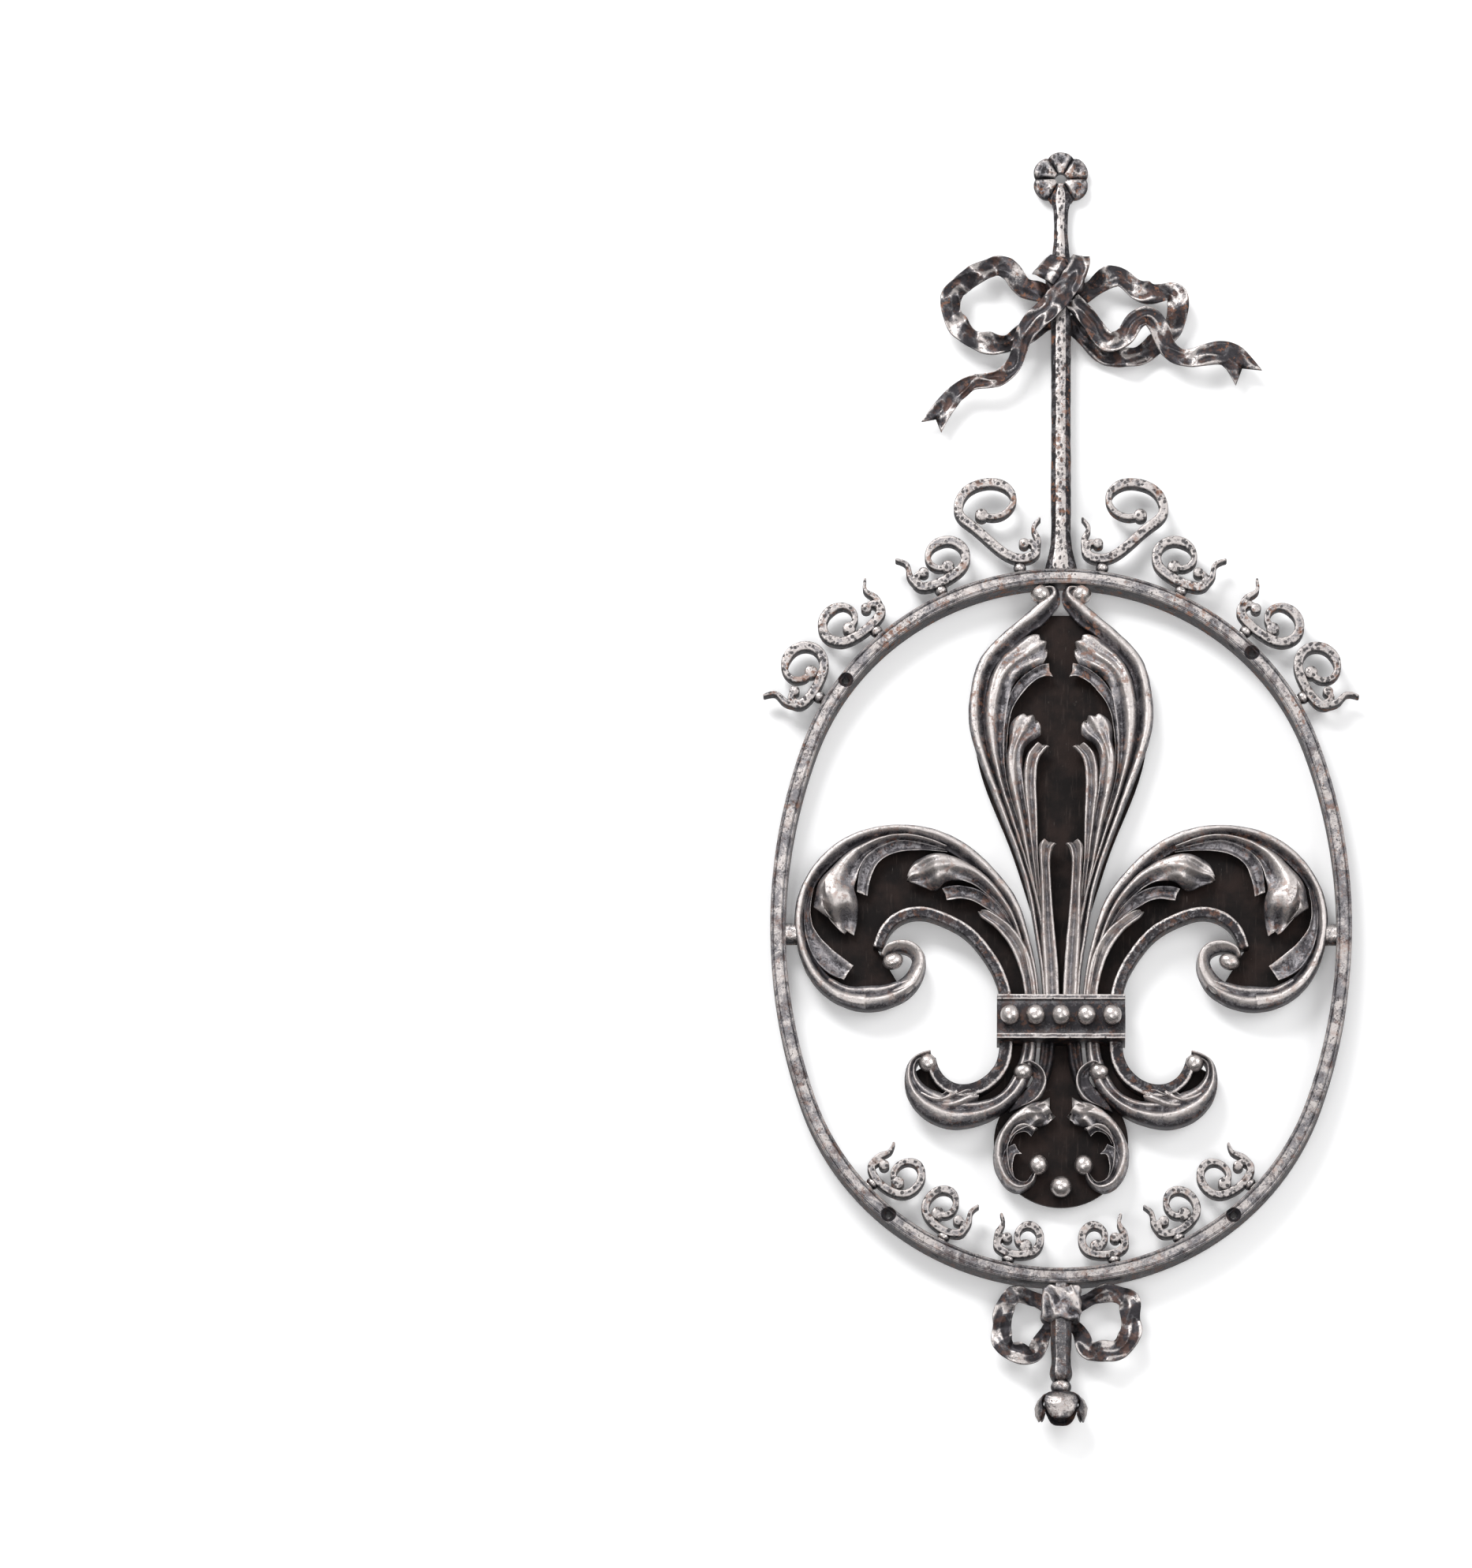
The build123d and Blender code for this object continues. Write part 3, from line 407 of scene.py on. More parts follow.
ribbonIron = ironFinish("ribbonIron", finishValues(
    pitLow=0.6, pitReach=0.28, pitSize=3.4, wander=0.3, brown=0.95, hammer=0.5, roughBright=0.36,
    roughDark=0.46, deep=1.3, mid=0.55, dim=0.8, rustLow=0.57))
# The rim and burnished finishes are brighter on what faces forward: painted light, with painted shade on
# sides and back
rimIron = ironFinish("rimIron", finishValues(
    byPolish=False, base=0.66, wander=0.48, patch=15.0, pitLow=0.5, pitReach=0.28, pitSize=3.0,
    pitStretch=(1.0, 1.0, 1.0), brown=0.5, dim=0.86, deep=1.3, rustLow=0.54), rimWork)
burnished = ironFinish("burnishedIron", finishValues(
    byPolish=False, base=0.85, wander=0.7, patch=8.0, pitLow=0.62, pitReach=0.24, pitSize=2.6,
    roughBright=0.24, roughDark=0.45, brown=0.3))
ballIron = ironFinish("ballIron", finishValues(
    wander=0.14, patch=7.0, pitLow=0.78, pitReach=0.2, pitSize=2.6, roughBright=0.2, roughDark=0.4, brown=0.2,
    specks=0.12, hammer=0.05, grit=0.25))
collarIron = ironFinish("collarIron", finishValues(
    wander=0.3, patch=12.0, brown=0.5, roughDark=0.5, specks=0.2, mid=0.6))


# Blackened brown back plates, matt, with faint scratches and lighter rubbed places
def plateFinish():
    shader = Shader(bpy.data.materials.new("backPlateIron"))
    cloud = shader.noise(26.0, 4.0, 0.6)
    streak = shader.noise(5.0, 3.0, 0.6, (2.2, 1.0, 0.25))
    colour = shader.mix(cloud.ramp(0.35, 0.7), (0.006, 0.0045, 0.0045), (0.017, 0.010, 0.0085))
    colour = shader.mix(streak.ramp(0.56, 0.75) * 0.3, colour, (0.06, 0.045, 0.04))
    rub = shader.noise(9.0, 4.0, 0.7).ramp(0.66, 0.75)
    scratch = shader.noise(2.6, 4.0, 0.7, (1.0, 1.0, 0.12)).ramp(0.66, 0.72)
    colour = shader.mix((rub * 0.2 + scratch * 0.35).clamped(), colour, (0.16, 0.14, 0.13))
    height = (shader.noise(1.4, 3.0) - 0.5) * 0.3 + (streak - 0.5) * 0.2
    return shader.surface(base=colour, rough=cloud.ramp(0.3, 0.7, 0.66, 0.5), metal=0.2, specular=0.12,
                          normal=shader.bumped(height, 0.8, 0.7))


plateIron = plateFinish()
print("finishes ready")


# Leaf strips: rows of x, z, width and rise, drawn from the rim's inner top
def fleur(rows):
    return [(row[0] * stretchX, innerTop + row[1] * stretchZ, *row[2:]) for row in rows]


centreBands = {
    "margin": (
        (17, -823, 12, -823, 13), (17, -800, 12, -800, 13), (19.5, -770, 14, -770, 14),
        (24, -740, 18.5, -740, 14.5), (31, -700, 24.5, -701, 15), (43, -660, 35, -663, 16),
        (56, -625, 45.5, -630, 16), (69, -590, 56, -596, 16), (78.5, -562, 65, -566, 16),
        (84.5, -535, 69, -536, 16), (83, -508, 68, -506, 16), (74.5, -477, 60, -482, 16),
        (63.5, -462, 51, -471, 16), (50.5, -449, 40, -460, 16), (38, -438, 27.5, -449, 16),
        (27, -428, 16, -441, 16), (16, -419, 6.5, -429, 16), (8.5, -412.5, 0.7, -415, 16),
        (9.5, -409.5, 4, -405.8, 16), (15, -409.5, 14, -405.5, 16),
    ),
    "upper": (
        (12.5, -823, 9, -823, 11), (12.5, -780, 9.5, -780, 11), (19, -735, 15, -735, 13),
        (26, -700, 21.5, -700, 14), (37, -662, 31, -663, 15), (47.5, -630, 39.5, -632, 16),
        (58, -596, 49, -598, 16), (67, -562, 52.5, -563, 17), (70.5, -535, 51, -536, 18),
        (69, -510, 47, -513, 19), (62, -486, 41, -497, 20), (52, -470, 31, -489, 22),
        (41, -461, 22, -484, 23), (30, -452.5, 14, -480, 21), (18, -448.5, 8, -471, 15),
    ),
    "upperTongue": (
        (46, -618, 42, -618, 9), (51, -600, 47.5, -600, 11), (54, -570, 50, -570, 12),
        (54, -545, 48.5, -545, 12), (51, -525, 44.5, -525, 13), (45, -508, 37, -512, 14),
        (36.5, -496, 28, -501.5, 15), (26, -487.5, 19, -495, 15), (17.5, -482.5, 12.5, -493, 14),
        (11, -481, 7.5, -493.5, 11),
    ),
    "middle": (
        (16, -823, 12, -823, 12), (17, -760, 13, -760, 12), (21, -720, 16.5, -720, 14),
        (25.5, -700, 20.5, -700, 15), (33, -665, 26, -665, 16), (38.5, -640, 28.5, -640, 17),
        (43, -620, 32, -620, 18), (48, -600, 34.5, -600, 19), (50.5, -580, 35.5, -580, 20),
        (49.5, -566, 34.5, -567, 21), (47.5, -555, 30.5, -558, 23), (47.5, -545, 24.5, -554, 25),
        (44, -535, 18, -549, 24), (36, -527, 16, -537, 18),
    ),
    "middleTongue": (
        (22, -705, 18.5, -705, 12), (27, -665, 21, -665, 14), (31, -635, 21.5, -635, 15),
        (34.5, -605, 22.5, -605, 16), (34.5, -583, 21.8, -582, 17), (31, -568, 18.5, -571, 17),
        (22, -557, 10.5, -562, 13),
    ),
    "low": (
        (16.5, -823, 1.6, -823, 14), (16.5, -800, 1.8, -800, 14.5), (17.5, -770, 3, -770, 15),
        (19, -740, 5.5, -740, 16), (19, -710, 8, -712, 17), (19.5, -685, 9.5, -685, 18),
        (20.5, -665, 9.3, -668, 19), (20, -656, 7, -660, 18), (16, -650.5, 4, -656.5, 14),
    ),
}
wingBands = {
    "margin": (
        (20, -823, 24, -823, 13), (20, -800, 24.5, -800, 13), (23, -772, 28.5, -774, 14),
        (30.5, -738, 38, -741.5, 15), (40, -709, 49.5, -715.5, 15), (60, -680.5, 69.5, -690, 16),
        (80, -660.5, 88.5, -671.5, 16), (100, -647.5, 106, -659.5, 16), (122, -639.5, 125, -652, 16),
        (148, -637, 148, -647, 16), (175, -640.5, 172.5, -651, 16), (200, -651, 195, -662, 16),
        (219, -667, 212, -677, 16), (233, -687, 224, -693, 16), (241, -708, 230, -711, 16),
        (243.5, -730, 232, -730, 16), (240.5, -753, 230, -748, 16), (232, -777, 222, -768, 16),
        (218, -796, 210, -783, 17), (199, -808.5, 194, -791, 17), (178, -813.5, 177, -791, 17),
        (159, -811, 161, -790, 18), (143, -803.5, 150, -787, 18), (132, -793.5, 139, -785, 18),
    ),
    "hook": (
        (152, -808.5, 156, -789, 15), (138, -800, 146, -784, 17), (128, -787, 139, -776, 18),
        (123.5, -773, 136, -768.5, 18), (125, -760, 137, -762.5, 18), (132, -751, 141, -759.5, 18),
        (142.5, -747.5, 146.5, -758, 18), (153.5, -749, 153, -758.5, 18), (161, -754, 158.5, -761, 17),
        (164.5, -761, 160.5, -764.5, 15),
    ),
    "hanging": (
        (104, -656, 106, -660, 12), (124, -648, 125, -655, 14), (148, -645.5, 149, -652.5, 16),
        (168, -649.5, 165, -658, 17), (186, -657.5, 177, -667.5, 19), (200, -667, 184, -679, 21),
        (211, -679, 187, -690, 23), (221, -692, 189, -699.5, 25), (225, -707, 187, -706.5, 26),
        (225.5, -720, 185.5, -716, 25), (220, -732, 186.5, -730, 20), (208, -741.5, 189, -742, 12),
    ),
    "hangingTongue": (
        (104, -657, 104, -662, 10), (125, -655, 125, -660.5, 11), (149, -652, 150, -663, 12),
        (165, -658, 161, -668, 13), (177, -667.5, 169, -676, 14), (183.5, -679, 173.5, -687, 14),
        (185.5, -690, 176, -697, 13), (186.5, -701, 177, -705, 10),
    ),
    "rim": (
        (229, -695, 226, -696, 11), (233, -711, 228.5, -712, 12), (234.5, -730, 227.5, -731, 13),
        (232, -747, 220.5, -744.5, 14), (224, -766, 208, -757.5, 14), (212, -779, 198, -765.5, 14),
        (198, -785.5, 189.5, -772, 12),
    ),
    "inner": (
        (24.5, -823, 27, -823, 12), (25, -800, 28, -800, 12), (28, -774, 33, -775, 13),
        (36.5, -741, 42.5, -742, 15), (46, -716, 54, -719, 17), (57, -698.5, 65, -707, 18),
        (72.5, -682, 80, -695, 20), (90, -671, 95, -691, 22), (106, -665.5, 106, -693, 24),
        (119, -664.5, 112, -698, 26), (130.5, -669, 120, -698.5, 25), (138.5, -678, 131, -694.5, 20),
        (142.5, -689, 140, -692, 13),
    ),
    "innerTongue": (
        (30, -785, 33, -783, 11), (38, -752, 41.5, -750, 12), (46, -733, 51, -732, 14),
        (56, -718, 61, -722, 15), (66, -707, 71, -716, 16), (78, -699.5, 80.5, -710.5, 16),
        (92, -696.5, 92, -708, 16), (102, -696.5, 99, -708.5, 14), (108.5, -698, 104.5, -709, 11),
    ),
    "innerLow": (
        (21, -823, 32.5, -823, 12), (21, -800, 33, -800, 12), (24, -775, 38.5, -773, 13),
        (29, -757, 45, -757, 14), (37, -743, 52, -745.5, 15), (47, -732, 61, -735.5, 16),
        (58, -723.5, 69, -729, 15), (67, -718, 74, -723.5, 12), (73, -716.8, 76, -719, 8),
    ),
}
petalBands = {
    "margin": (
        (22.5, -825, 35.5, -825, 12), (22.5, -852, 35.5, -850, 12), (29, -880, 42, -872, 14),
        (43, -901, 52, -890, 17), (60, -915, 66, -899, 20), (80, -923, 83, -901, 21),
        (100, -925, 98, -898, 21), (120, -918, 110, -893, 21), (134, -905, 121, -888, 20),
        (141.5, -888, 129, -880, 18), (141.5, -872, 132, -871, 17), (136.5, -861, 130, -864, 17),
        (128, -855, 125, -861, 17), (119, -852, 118, -858, 15),
    ),
    "tongue": (
        (114, -907, 109, -897, 14), (101, -910, 99, -896, 19), (89, -907.5, 90, -893, 22),
        (80, -903, 83.5, -890.5, 22), (73.5, -899.5, 78, -890.5, 17),
    ),
    "tongueTwo": (
        (131, -895, 125, -887, 14), (121, -902, 116, -892, 18), (109, -904, 108, -895, 20),
        (99, -900, 102, -890, 19), (92.5, -893.5, 97, -889, 14),
    ),
}
footBands = {
    "leaf": (
        (22, -969, 25.5, -968, 12), (24.5, -977, 29, -973.5, 13), (31, -983.5, 33, -977, 15),
        (40, -985.5, 40, -975, 16), (49.5, -981, 45, -969, 17), (56.5, -972, 47, -962, 18),
        (61, -960, 48, -955, 18), (61.5, -947, 48.5, -947, 18), (58.5, -935, 46.5, -938, 18),
        (52.5, -924, 41, -931, 19), (43.5, -913, 34, -927, 20), (33, -905.5, 25, -924.5, 21),
        (21, -899.5, 15, -922.5, 18), (10, -895, 3.5, -919.5, 12),
    ),
    "upperTongue": (
        (48, -936, 46, -941, 12), (40.5, -923, 39.5, -931, 15), (32, -921, 32.5, -929.5, 16),
        (21, -925, 27, -933.5, 12),
    ),
    "lowerTongue": (
        (46, -980, 42, -973, 12), (52.5, -968, 44, -966, 15), (53, -955, 43.5, -958, 15),
        (49, -945.5, 41, -951, 14), (42, -941, 35.5, -950, 10),
    ),
    "curl": (
        (36, -905, 47, -909, 10), (22, -899, 40, -898, 13), (14.5, -888, 30, -886.5, 15),
        (13.5, -880, 26, -880.5, 16), (16, -872.5, 25.5, -877, 17), (22.5, -866, 27, -873, 17),
        (31, -863.5, 31, -870, 17), (38, -867, 34, -871, 15),
    ),
    "tail": (
        (5, -825, 17, -825, 12), (5.5, -850, 18, -850, 11), (9, -872, 21, -868, 10),
        (17, -893, 29, -886, 8),
    ),
}
sideBar = (
    (118, -457, 8), (115, -469, 10), (106, -481, 11), (92, -487, 12), (77, -485, 12), (62, -475, 12),
    (53, -461, 12), (50, -444, 12), (50, -420, 12), (50.5, -398, 11), (56, -377, 10.5), (69, -354, 10.5),
    (86, -335, 10.5), (107, -323, 10.5), (128, -317, 10.5), (148, -322, 10.5), (161, -335, 10),
    (167, -351, 9),
)
# Sections across a band: place from outer edge to inner edge, share of the rise, and polish
rollSection = (
    (0.0, 0.66, 0.1), (0.05, 0.82, 0.4), (0.17, 0.96, 0.85), (0.34, 1.0, 1.0), (0.52, 0.9, 0.8),
    (0.68, 0.66, 0.3), (0.84, 0.5, 0.05), (1.0, 0.5, 0.1),
)
lobeSection = (
    (0.0, 0.4, 0.2), (0.07, 0.7, 0.5), (0.2, 0.94, 0.9), (0.36, 1.0, 1.0), (0.53, 0.86, 0.7),
    (0.7, 0.6, 0.2), (0.86, 0.6, 0.3), (0.95, 0.7, 0.6), (1.0, 0.74, 0.85),
)
tongueSection = (
    (0.0, 0.9, 0.5), (0.12, 0.74, 0.35), (0.4, 0.6, 0.3), (0.7, 0.62, 0.35), (0.9, 0.78, 0.55),
    (1.0, 0.84, 0.8),
)
ribSection = (
    (0.0, 0.55, 0.5), (0.1, 0.85, 0.9), (0.25, 1.0, 1.0), (0.42, 0.82, 0.8), (0.55, 0.66, 0.45),
    (0.7, 0.74, 0.6), (0.86, 0.92, 0.95), (1.0, 0.86, 0.9),
)
hookSection = (
    (0.0, 0.5, 0.3), (0.08, 0.8, 0.9), (0.25, 1.0, 1.0), (0.5, 0.95, 1.0), (0.75, 0.75, 0.7),
    (0.9, 0.6, 0.3), (1.0, 0.5, 0.1),
)
channelSection = (
    (0.0, 0.9, 1.0), (0.08, 1.0, 1.0), (0.22, 0.72, 0.3), (0.5, 0.5, 0.08), (0.8, 0.56, 0.1),
    (1.0, 0.5, 0.3),
)
crescentSection = (
    (0.0, 0.6, 0.05), (0.06, 0.74, 0.2), (0.2, 0.92, 0.7), (0.36, 1.0, 1.0), (0.5, 0.84, 0.4),
    (0.62, 0.74, 0.15), (0.76, 0.86, 0.8), (0.88, 0.78, 0.6), (1.0, 0.58, 0.3),
)


# Dense outer and inner edges, and the rise, from rows of x, z, x, z and rise
def bandLines(rows, count=500):
    rows = np.array(rows, float)
    middle = (rows[:, 0:2] + rows[:, 2:4]) / 2
    knots = np.concatenate([[0], np.cumsum(np.hypot(*np.diff(middle, axis=0).T))])
    at = np.linspace(0, knots[-1], count)
    edges = naturalCubic(knots, rows[:, :4], at)
    rise = np.interp(at, knots, rows[:, 4])
    rise = np.convolve(np.pad(rise, 7, mode="edge"), np.ones(15) / 15, "valid")
    return at / knots[-1], np.column_stack([edges, rise])


# Sheet between two edges, embossed by a section, with an optional bulb and cut tips at its end
def bandGrid(rows, section, values=None, count=140, across=27):
    values = {"ends": ((0, 1), (1, 1)), "bulbAt": 0.84, "bulbReach": 0.1, "bulb": 0.0, "dip": 0.0, "lip": 0.0,
              "sheet": 0.0, "vein": 0.0, "veins": 3, **(values or {})}
    shares, table = bandLines(rows)
    u = np.linspace(0, 1, across)
    end = np.interp(u, *np.array(values["ends"], float).T)
    t = np.linspace(0, 1, count)[:, None] * end[None, :]
    line = atShares(shares, table, t)
    uu = np.broadcast_to(u, t.shape)
    x = line[..., 0] * (1 - uu) + line[..., 2] * uu
    z = line[..., 1] * (1 - uu) + line[..., 3] * uu
    points = np.array(section, float)
    share = profile(points[:, :2], uu)
    shine = np.interp(uu, points[:, 0], points[:, 2])
    swell = bump(values["bulbAt"], values["bulbReach"], t) * values["bulb"]
    middle = 2 * uu - 1
    dome = 0.4 + 0.68 * np.sqrt(np.clip(1 - middle ** 2 * 0.94, 0, 1))
    share = share * (1 - swell) + dome * swell
    shine = shine * (1 - swell) + swell * (0.6 + 0.4 * (1 - middle ** 2))
    near = t / end[None, :]
    dip, lip = values["dip"] * smoothStep(0.86, 0.95, near), values["lip"] * smoothStep(0.94, 1.0, near)
    share = share * (1 - dip + lip)
    grooves = np.cos(middle * math.pi * values["veins"]) * values["vein"] * smoothStep(0.72, 0.95, near)
    share = share + grooves
    shine = shine - 0.5 * values["dip"] * bump(0.93, 0.05, near) + grooves * 2.5
    shine = np.clip(np.maximum(shine, smoothStep(0.975, 1.0, near) * (values["sheet"] > 0)), 0, 1)
    height = plateFront + line[..., 4] * share
    low = np.full(t.shape, plateFront)
    if values["sheet"]:
        over = smoothStep(0.35, 1.0, uu) + smoothStep(0.7, 0.95, near)
        low = low + np.clip(height - values["sheet"] - low, 0, None) * np.clip(over, 0, 1)
    # Walls and underside get 0: painted shade under the lifted sheet and along its walls
    grid = np.concatenate([fromWall(x, height, z), fromWall(x, low, z)[:, ::-1]], axis=1)
    return grid, np.concatenate([shine, np.zeros_like(shine)], axis=1)


# Hand-filed ball, a little uneven, with a painted highlight in front and painted shade where it seats
def ballGrid(x, z, forward, diameter, stretch=1.0, turned=0.0, count=26):
    fall = np.linspace(0.02, math.pi - 0.02, count)[:, None]
    about = np.linspace(0, 2 * math.pi, 2 * count, endpoint=False)[None, :]
    radius = diameter / 2
    length, width = radius * stretch * np.sin(fall) * np.cos(about), radius * np.sin(fall) * np.sin(about)
    cosine, sine = math.cos(math.radians(turned)), math.sin(math.radians(turned))
    y = forward + radius * np.cos(fall) + 0 * about
    shine = smoothStep(-0.25, 0.45, np.cos(fall)) + 0 * about
    points = fromWall(x + cosine * length - sine * width, y, z + sine * length + cosine * width)
    return roughen(points, 8.0, diameter * 0.016, x), shine


# How a strip's end is cut: place across it and share of its length there
threeTips = ((0, 0.9), (0.1, 0.97), (0.22, 1.0), (0.34, 0.95), (0.42, 0.97), (0.56, 1.0), (0.7, 0.95),
             (0.78, 0.96), (0.9, 0.99), (1, 0.95))
roundTips = ((0, 0.955), (0.08, 0.978), (0.2, 0.99), (0.3, 0.984), (0.4, 0.99), (0.55, 1.0), (0.68, 0.99),
             (0.76, 0.993), (0.9, 0.985), (1, 0.96))
hangingTips = ((0, 0.83), (0.1, 0.86), (0.2, 0.83), (0.26, 0.9), (0.42, 0.99), (0.55, 1.0), (0.75, 0.97),
               (1, 1.0))
footTips = ((0, 1.0), (0.1, 0.98), (0.2, 0.93), (0.3, 0.96), (0.6, 0.98), (0.8, 1.0), (0.9, 0.96), (1, 0.93))
bulbEnd = {"bulb": 0.9, "dip": 0.4, "lip": 0.25, "sheet": 2.4, "vein": 0.06, "ends": roundTips}
tongueEnd = {"sheet": 2.2, "lip": 0.12, "vein": 0.03, "ends": ((0, 1), (0.3, 0.985), (0.6, 0.99), (1, 1))}
# Each leaf's node, wear and strips from back to front: rows, section, end, points along and across
leaves = (
    ("centre_leaf", 0.3, (
        (centreBands["margin"], rollSection, None, 300, 21),
        (centreBands["upperTongue"], tongueSection, tongueEnd, 110, 15),
        (centreBands["upper"], lobeSection, {**bulbEnd, "bulbAt": 0.92, "bulbReach": 0.07}, 240, 31),
        (centreBands["middleTongue"], ribSection, {**tongueEnd, "lip": 0.2}, 110, 19),
        (centreBands["middle"], lobeSection, {**bulbEnd, "bulbAt": 0.9, "bulbReach": 0.1}, 200, 29),
        (centreBands["low"], ribSection, {**tongueEnd, "lip": 0.25}, 130, 25),
    )),
    ("wing_leaf", 0.3, (
        (wingBands["margin"][:21], rollSection, None, 300, 21),
        (wingBands["margin"][18:], crescentSection, None, 120, 25),
        (wingBands["hook"], hookSection, None, 100, 21),
        (wingBands["rim"], tongueSection, tongueEnd, 90, 15),
        (wingBands["hangingTongue"], tongueSection, tongueEnd, 110, 15),
        (wingBands["hanging"], lobeSection,
         {**bulbEnd, "bulbAt": 0.8, "bulbReach": 0.13, "bulb": 1.0, "ends": hangingTips}, 180, 33),
    )),
    ("wing_inner_leaf", 0.3, (
        (wingBands["innerLow"], ribSection, {**tongueEnd, "lip": 0.0}, 120, 21),
        (wingBands["innerTongue"], tongueSection, tongueEnd, 100, 17),
        (wingBands["inner"], lobeSection,
         {**bulbEnd, "bulbAt": 0.86, "bulbReach": 0.1, "bulb": 1.0}, 200, 31),
    )),
    ("petal_leaf", 0.25, (
        (petalBands["margin"], crescentSection, None, 200, 29),
        (petalBands["tongueTwo"], lobeSection, {**tongueEnd, "vein": 0.05}, 70, 19),
        (petalBands["tongue"], lobeSection, {**tongueEnd, "vein": 0.05, "ends": threeTips}, 80, 23),
    )),
    ("foot_leaf", 0.25, (
        (footBands["lowerTongue"], tongueSection, tongueEnd, 70, 17),
        (footBands["upperTongue"], lobeSection, tongueEnd, 60, 17),
        (footBands["leaf"], lobeSection,
         {**bulbEnd, "bulbAt": 0.88, "bulbReach": 0.07, "bulb": 0.8, "ends": footTips}, 220, 29),
    )),
)


def makeLeaves():
    for node, wear, strips in leaves:
        parts = MeshParts()
        for rows, section, values, count, across in strips:
            parts.add(*bandGrid(rows, section, values, count, across))
        makePair(f"{node}_iron", parts, leafIron, [node], wear)


# Plain strips between collar and foot, and the curls under them
def makeTailsAndCurls():
    darkStrip = tuple((u, share, 0.1) for u, share, _ in ribSection)
    tails = MeshParts()
    tails.add(*bandGrid(footBands["tail"], darkStrip, count=60, across=13))
    makeTogether("tail_strips_iron", tails, collarIron, ["tail_strips"], 0.2)
    curls = MeshParts()
    curls.add(*bandGrid(footBands["curl"], channelSection, count=90, across=17))
    makeTogether("foot_curls_iron", curls, leafIron, ["foot_curls"], 0.2)


makeLeaves()
makeTailsAndCurls()
print("leaves ready")


# Flat bars: rows of x, z and width, with worn, rounded edges. The far edge (farEdge) is dimmer and the sides
# and back are dark: painted light and shade
def barGrid(rows, back, depth, count=160, rounding=1.6, taperEnds=False, face=0.62, edge=1.0, farEdge=1.0):
    shares, places, sides, others, _ = along(rows)
    t = np.linspace(0, 1, count)
    place, side, other = (atShares(shares, table, t) for table in (places, sides, others))
    half = other[:, 0:1] / 2
    if taperEnds:
        half = half * np.sqrt(np.clip(1 - (1 - smoothStep(0, 0.03, t)[:, None]) ** 2, 0.02, 1))
        half = half * np.sqrt(np.clip(1 - (1 - smoothStep(1, 0.97, t)[:, None]) ** 2, 0.02, 1))
    corner = np.minimum(rounding, half * 0.6)
    front = back + depth
    steps = np.radians(np.array([0, 22, 45, 68, 90]))
    across, forward, shine = [], [], []
    for sign in (-1, 1):
        turns = steps if sign < 0 else steps[::-1]
        for turn in turns:
            across.append(sign * (half - corner + corner * math.cos(turn)))
            forward.append(front - corner + corner * math.sin(turn))
            lit = edge if sign > 0 else edge * farEdge
            shine.append((0.25 + 0.75 * math.sin(turn)) * lit if turn > 0.2 else 0.05)
        if sign < 0:
            for share in (-0.5, 0.0, 0.5):
                across.append(share * (half - corner))
                forward.append(front + 0 * half)
                shine.append(face)
    for sign in (1, -1):
        across.append(sign * half)
        forward.append(back + depth * 0.5 + 0 * half)
        shine.append(0.03)
        if sign > 0:
            across += [half, -half]
            forward += [back + 0 * half] * 2
            shine += [0.0] * 2
    across, forward = np.concatenate(across, axis=1), np.concatenate(forward, axis=1)
    x = place[:, 0:1] + side[:, 0:1] * across
    z = place[:, 1:2] + side[:, 1:2] * across
    return fromWall(x, forward, z), np.broadcast_to(np.array(shine)[None, :], x.shape)


# Round boss with a rolled edge, as at the eye of a scroll
def discGrid(x, z, radius, back, depth, count=36):
    front = back + depth
    outline = [(0.02, back), (1.0, back), (1.0, back + depth * 0.6), (1.0, front - 1.4), (0.93, front - 0.5),
               (0.82, front), (0.5, front + 0.4), (0.02, front + 0.5)]
    # The back and side wall are dark: painted shade
    shine = [0, 0, 0.05, 0.6, 1.0, 0.85, 0.8, 0.8]
    turn = np.linspace(0, 2 * math.pi, count, endpoint=False)
    grid = np.stack([fromWall(x + radius * share * np.cos(turn), forward + 0 * turn,
                              z + radius * share * np.sin(turn)) for share, forward in outline])
    return grid, np.array(shine)[:, None] + 0 * turn[None, :]


def makeSideBars():
    parts = MeshParts()
    parts.add(*barGrid(fleur(sideBar), plateFront, 14.0, count=260, rounding=1.8, face=0.14, farEdge=0.3))
    makePair("side_bar_iron", parts, barIron, ["side_bar"], 0.15)


# Each ball's node, X, Z, distance forward, diameter, stretch and turn; the last word says if it has a twin
balls = (
    ("top_balls", 18.7, -414.0, 18.4, 18.4, 1.0, 0, True),
    ("wing_balls", 153.5, -768.0, 19.2, 15.5, 1.25, -20, True),
    ("petal_balls", 121.3, -864.5, 18.2, 16.6, 1.08, 60, True),
    ("foot_curl_balls", 34.5, -873.0, 19.2, 16.0, 1.1, -20, True),
    ("foot_leaf_balls", 20.6, -960.8, 17.0, 17.2, 1.1, 80, True),
    ("foot_ball", 0, -981.0, 16.2, 19.8, 1.0, 0, False),
)
collarPlace = {
    "z": -824.0, "width": 116.8, "height": 42.0, "back": 1.9, "front": 30.4, "lip": 5.0, "lipFront": 32.7,
    "ball": 17.9, "balls": 5, "pitch": 23.2, "ballForward": 36.6,
}


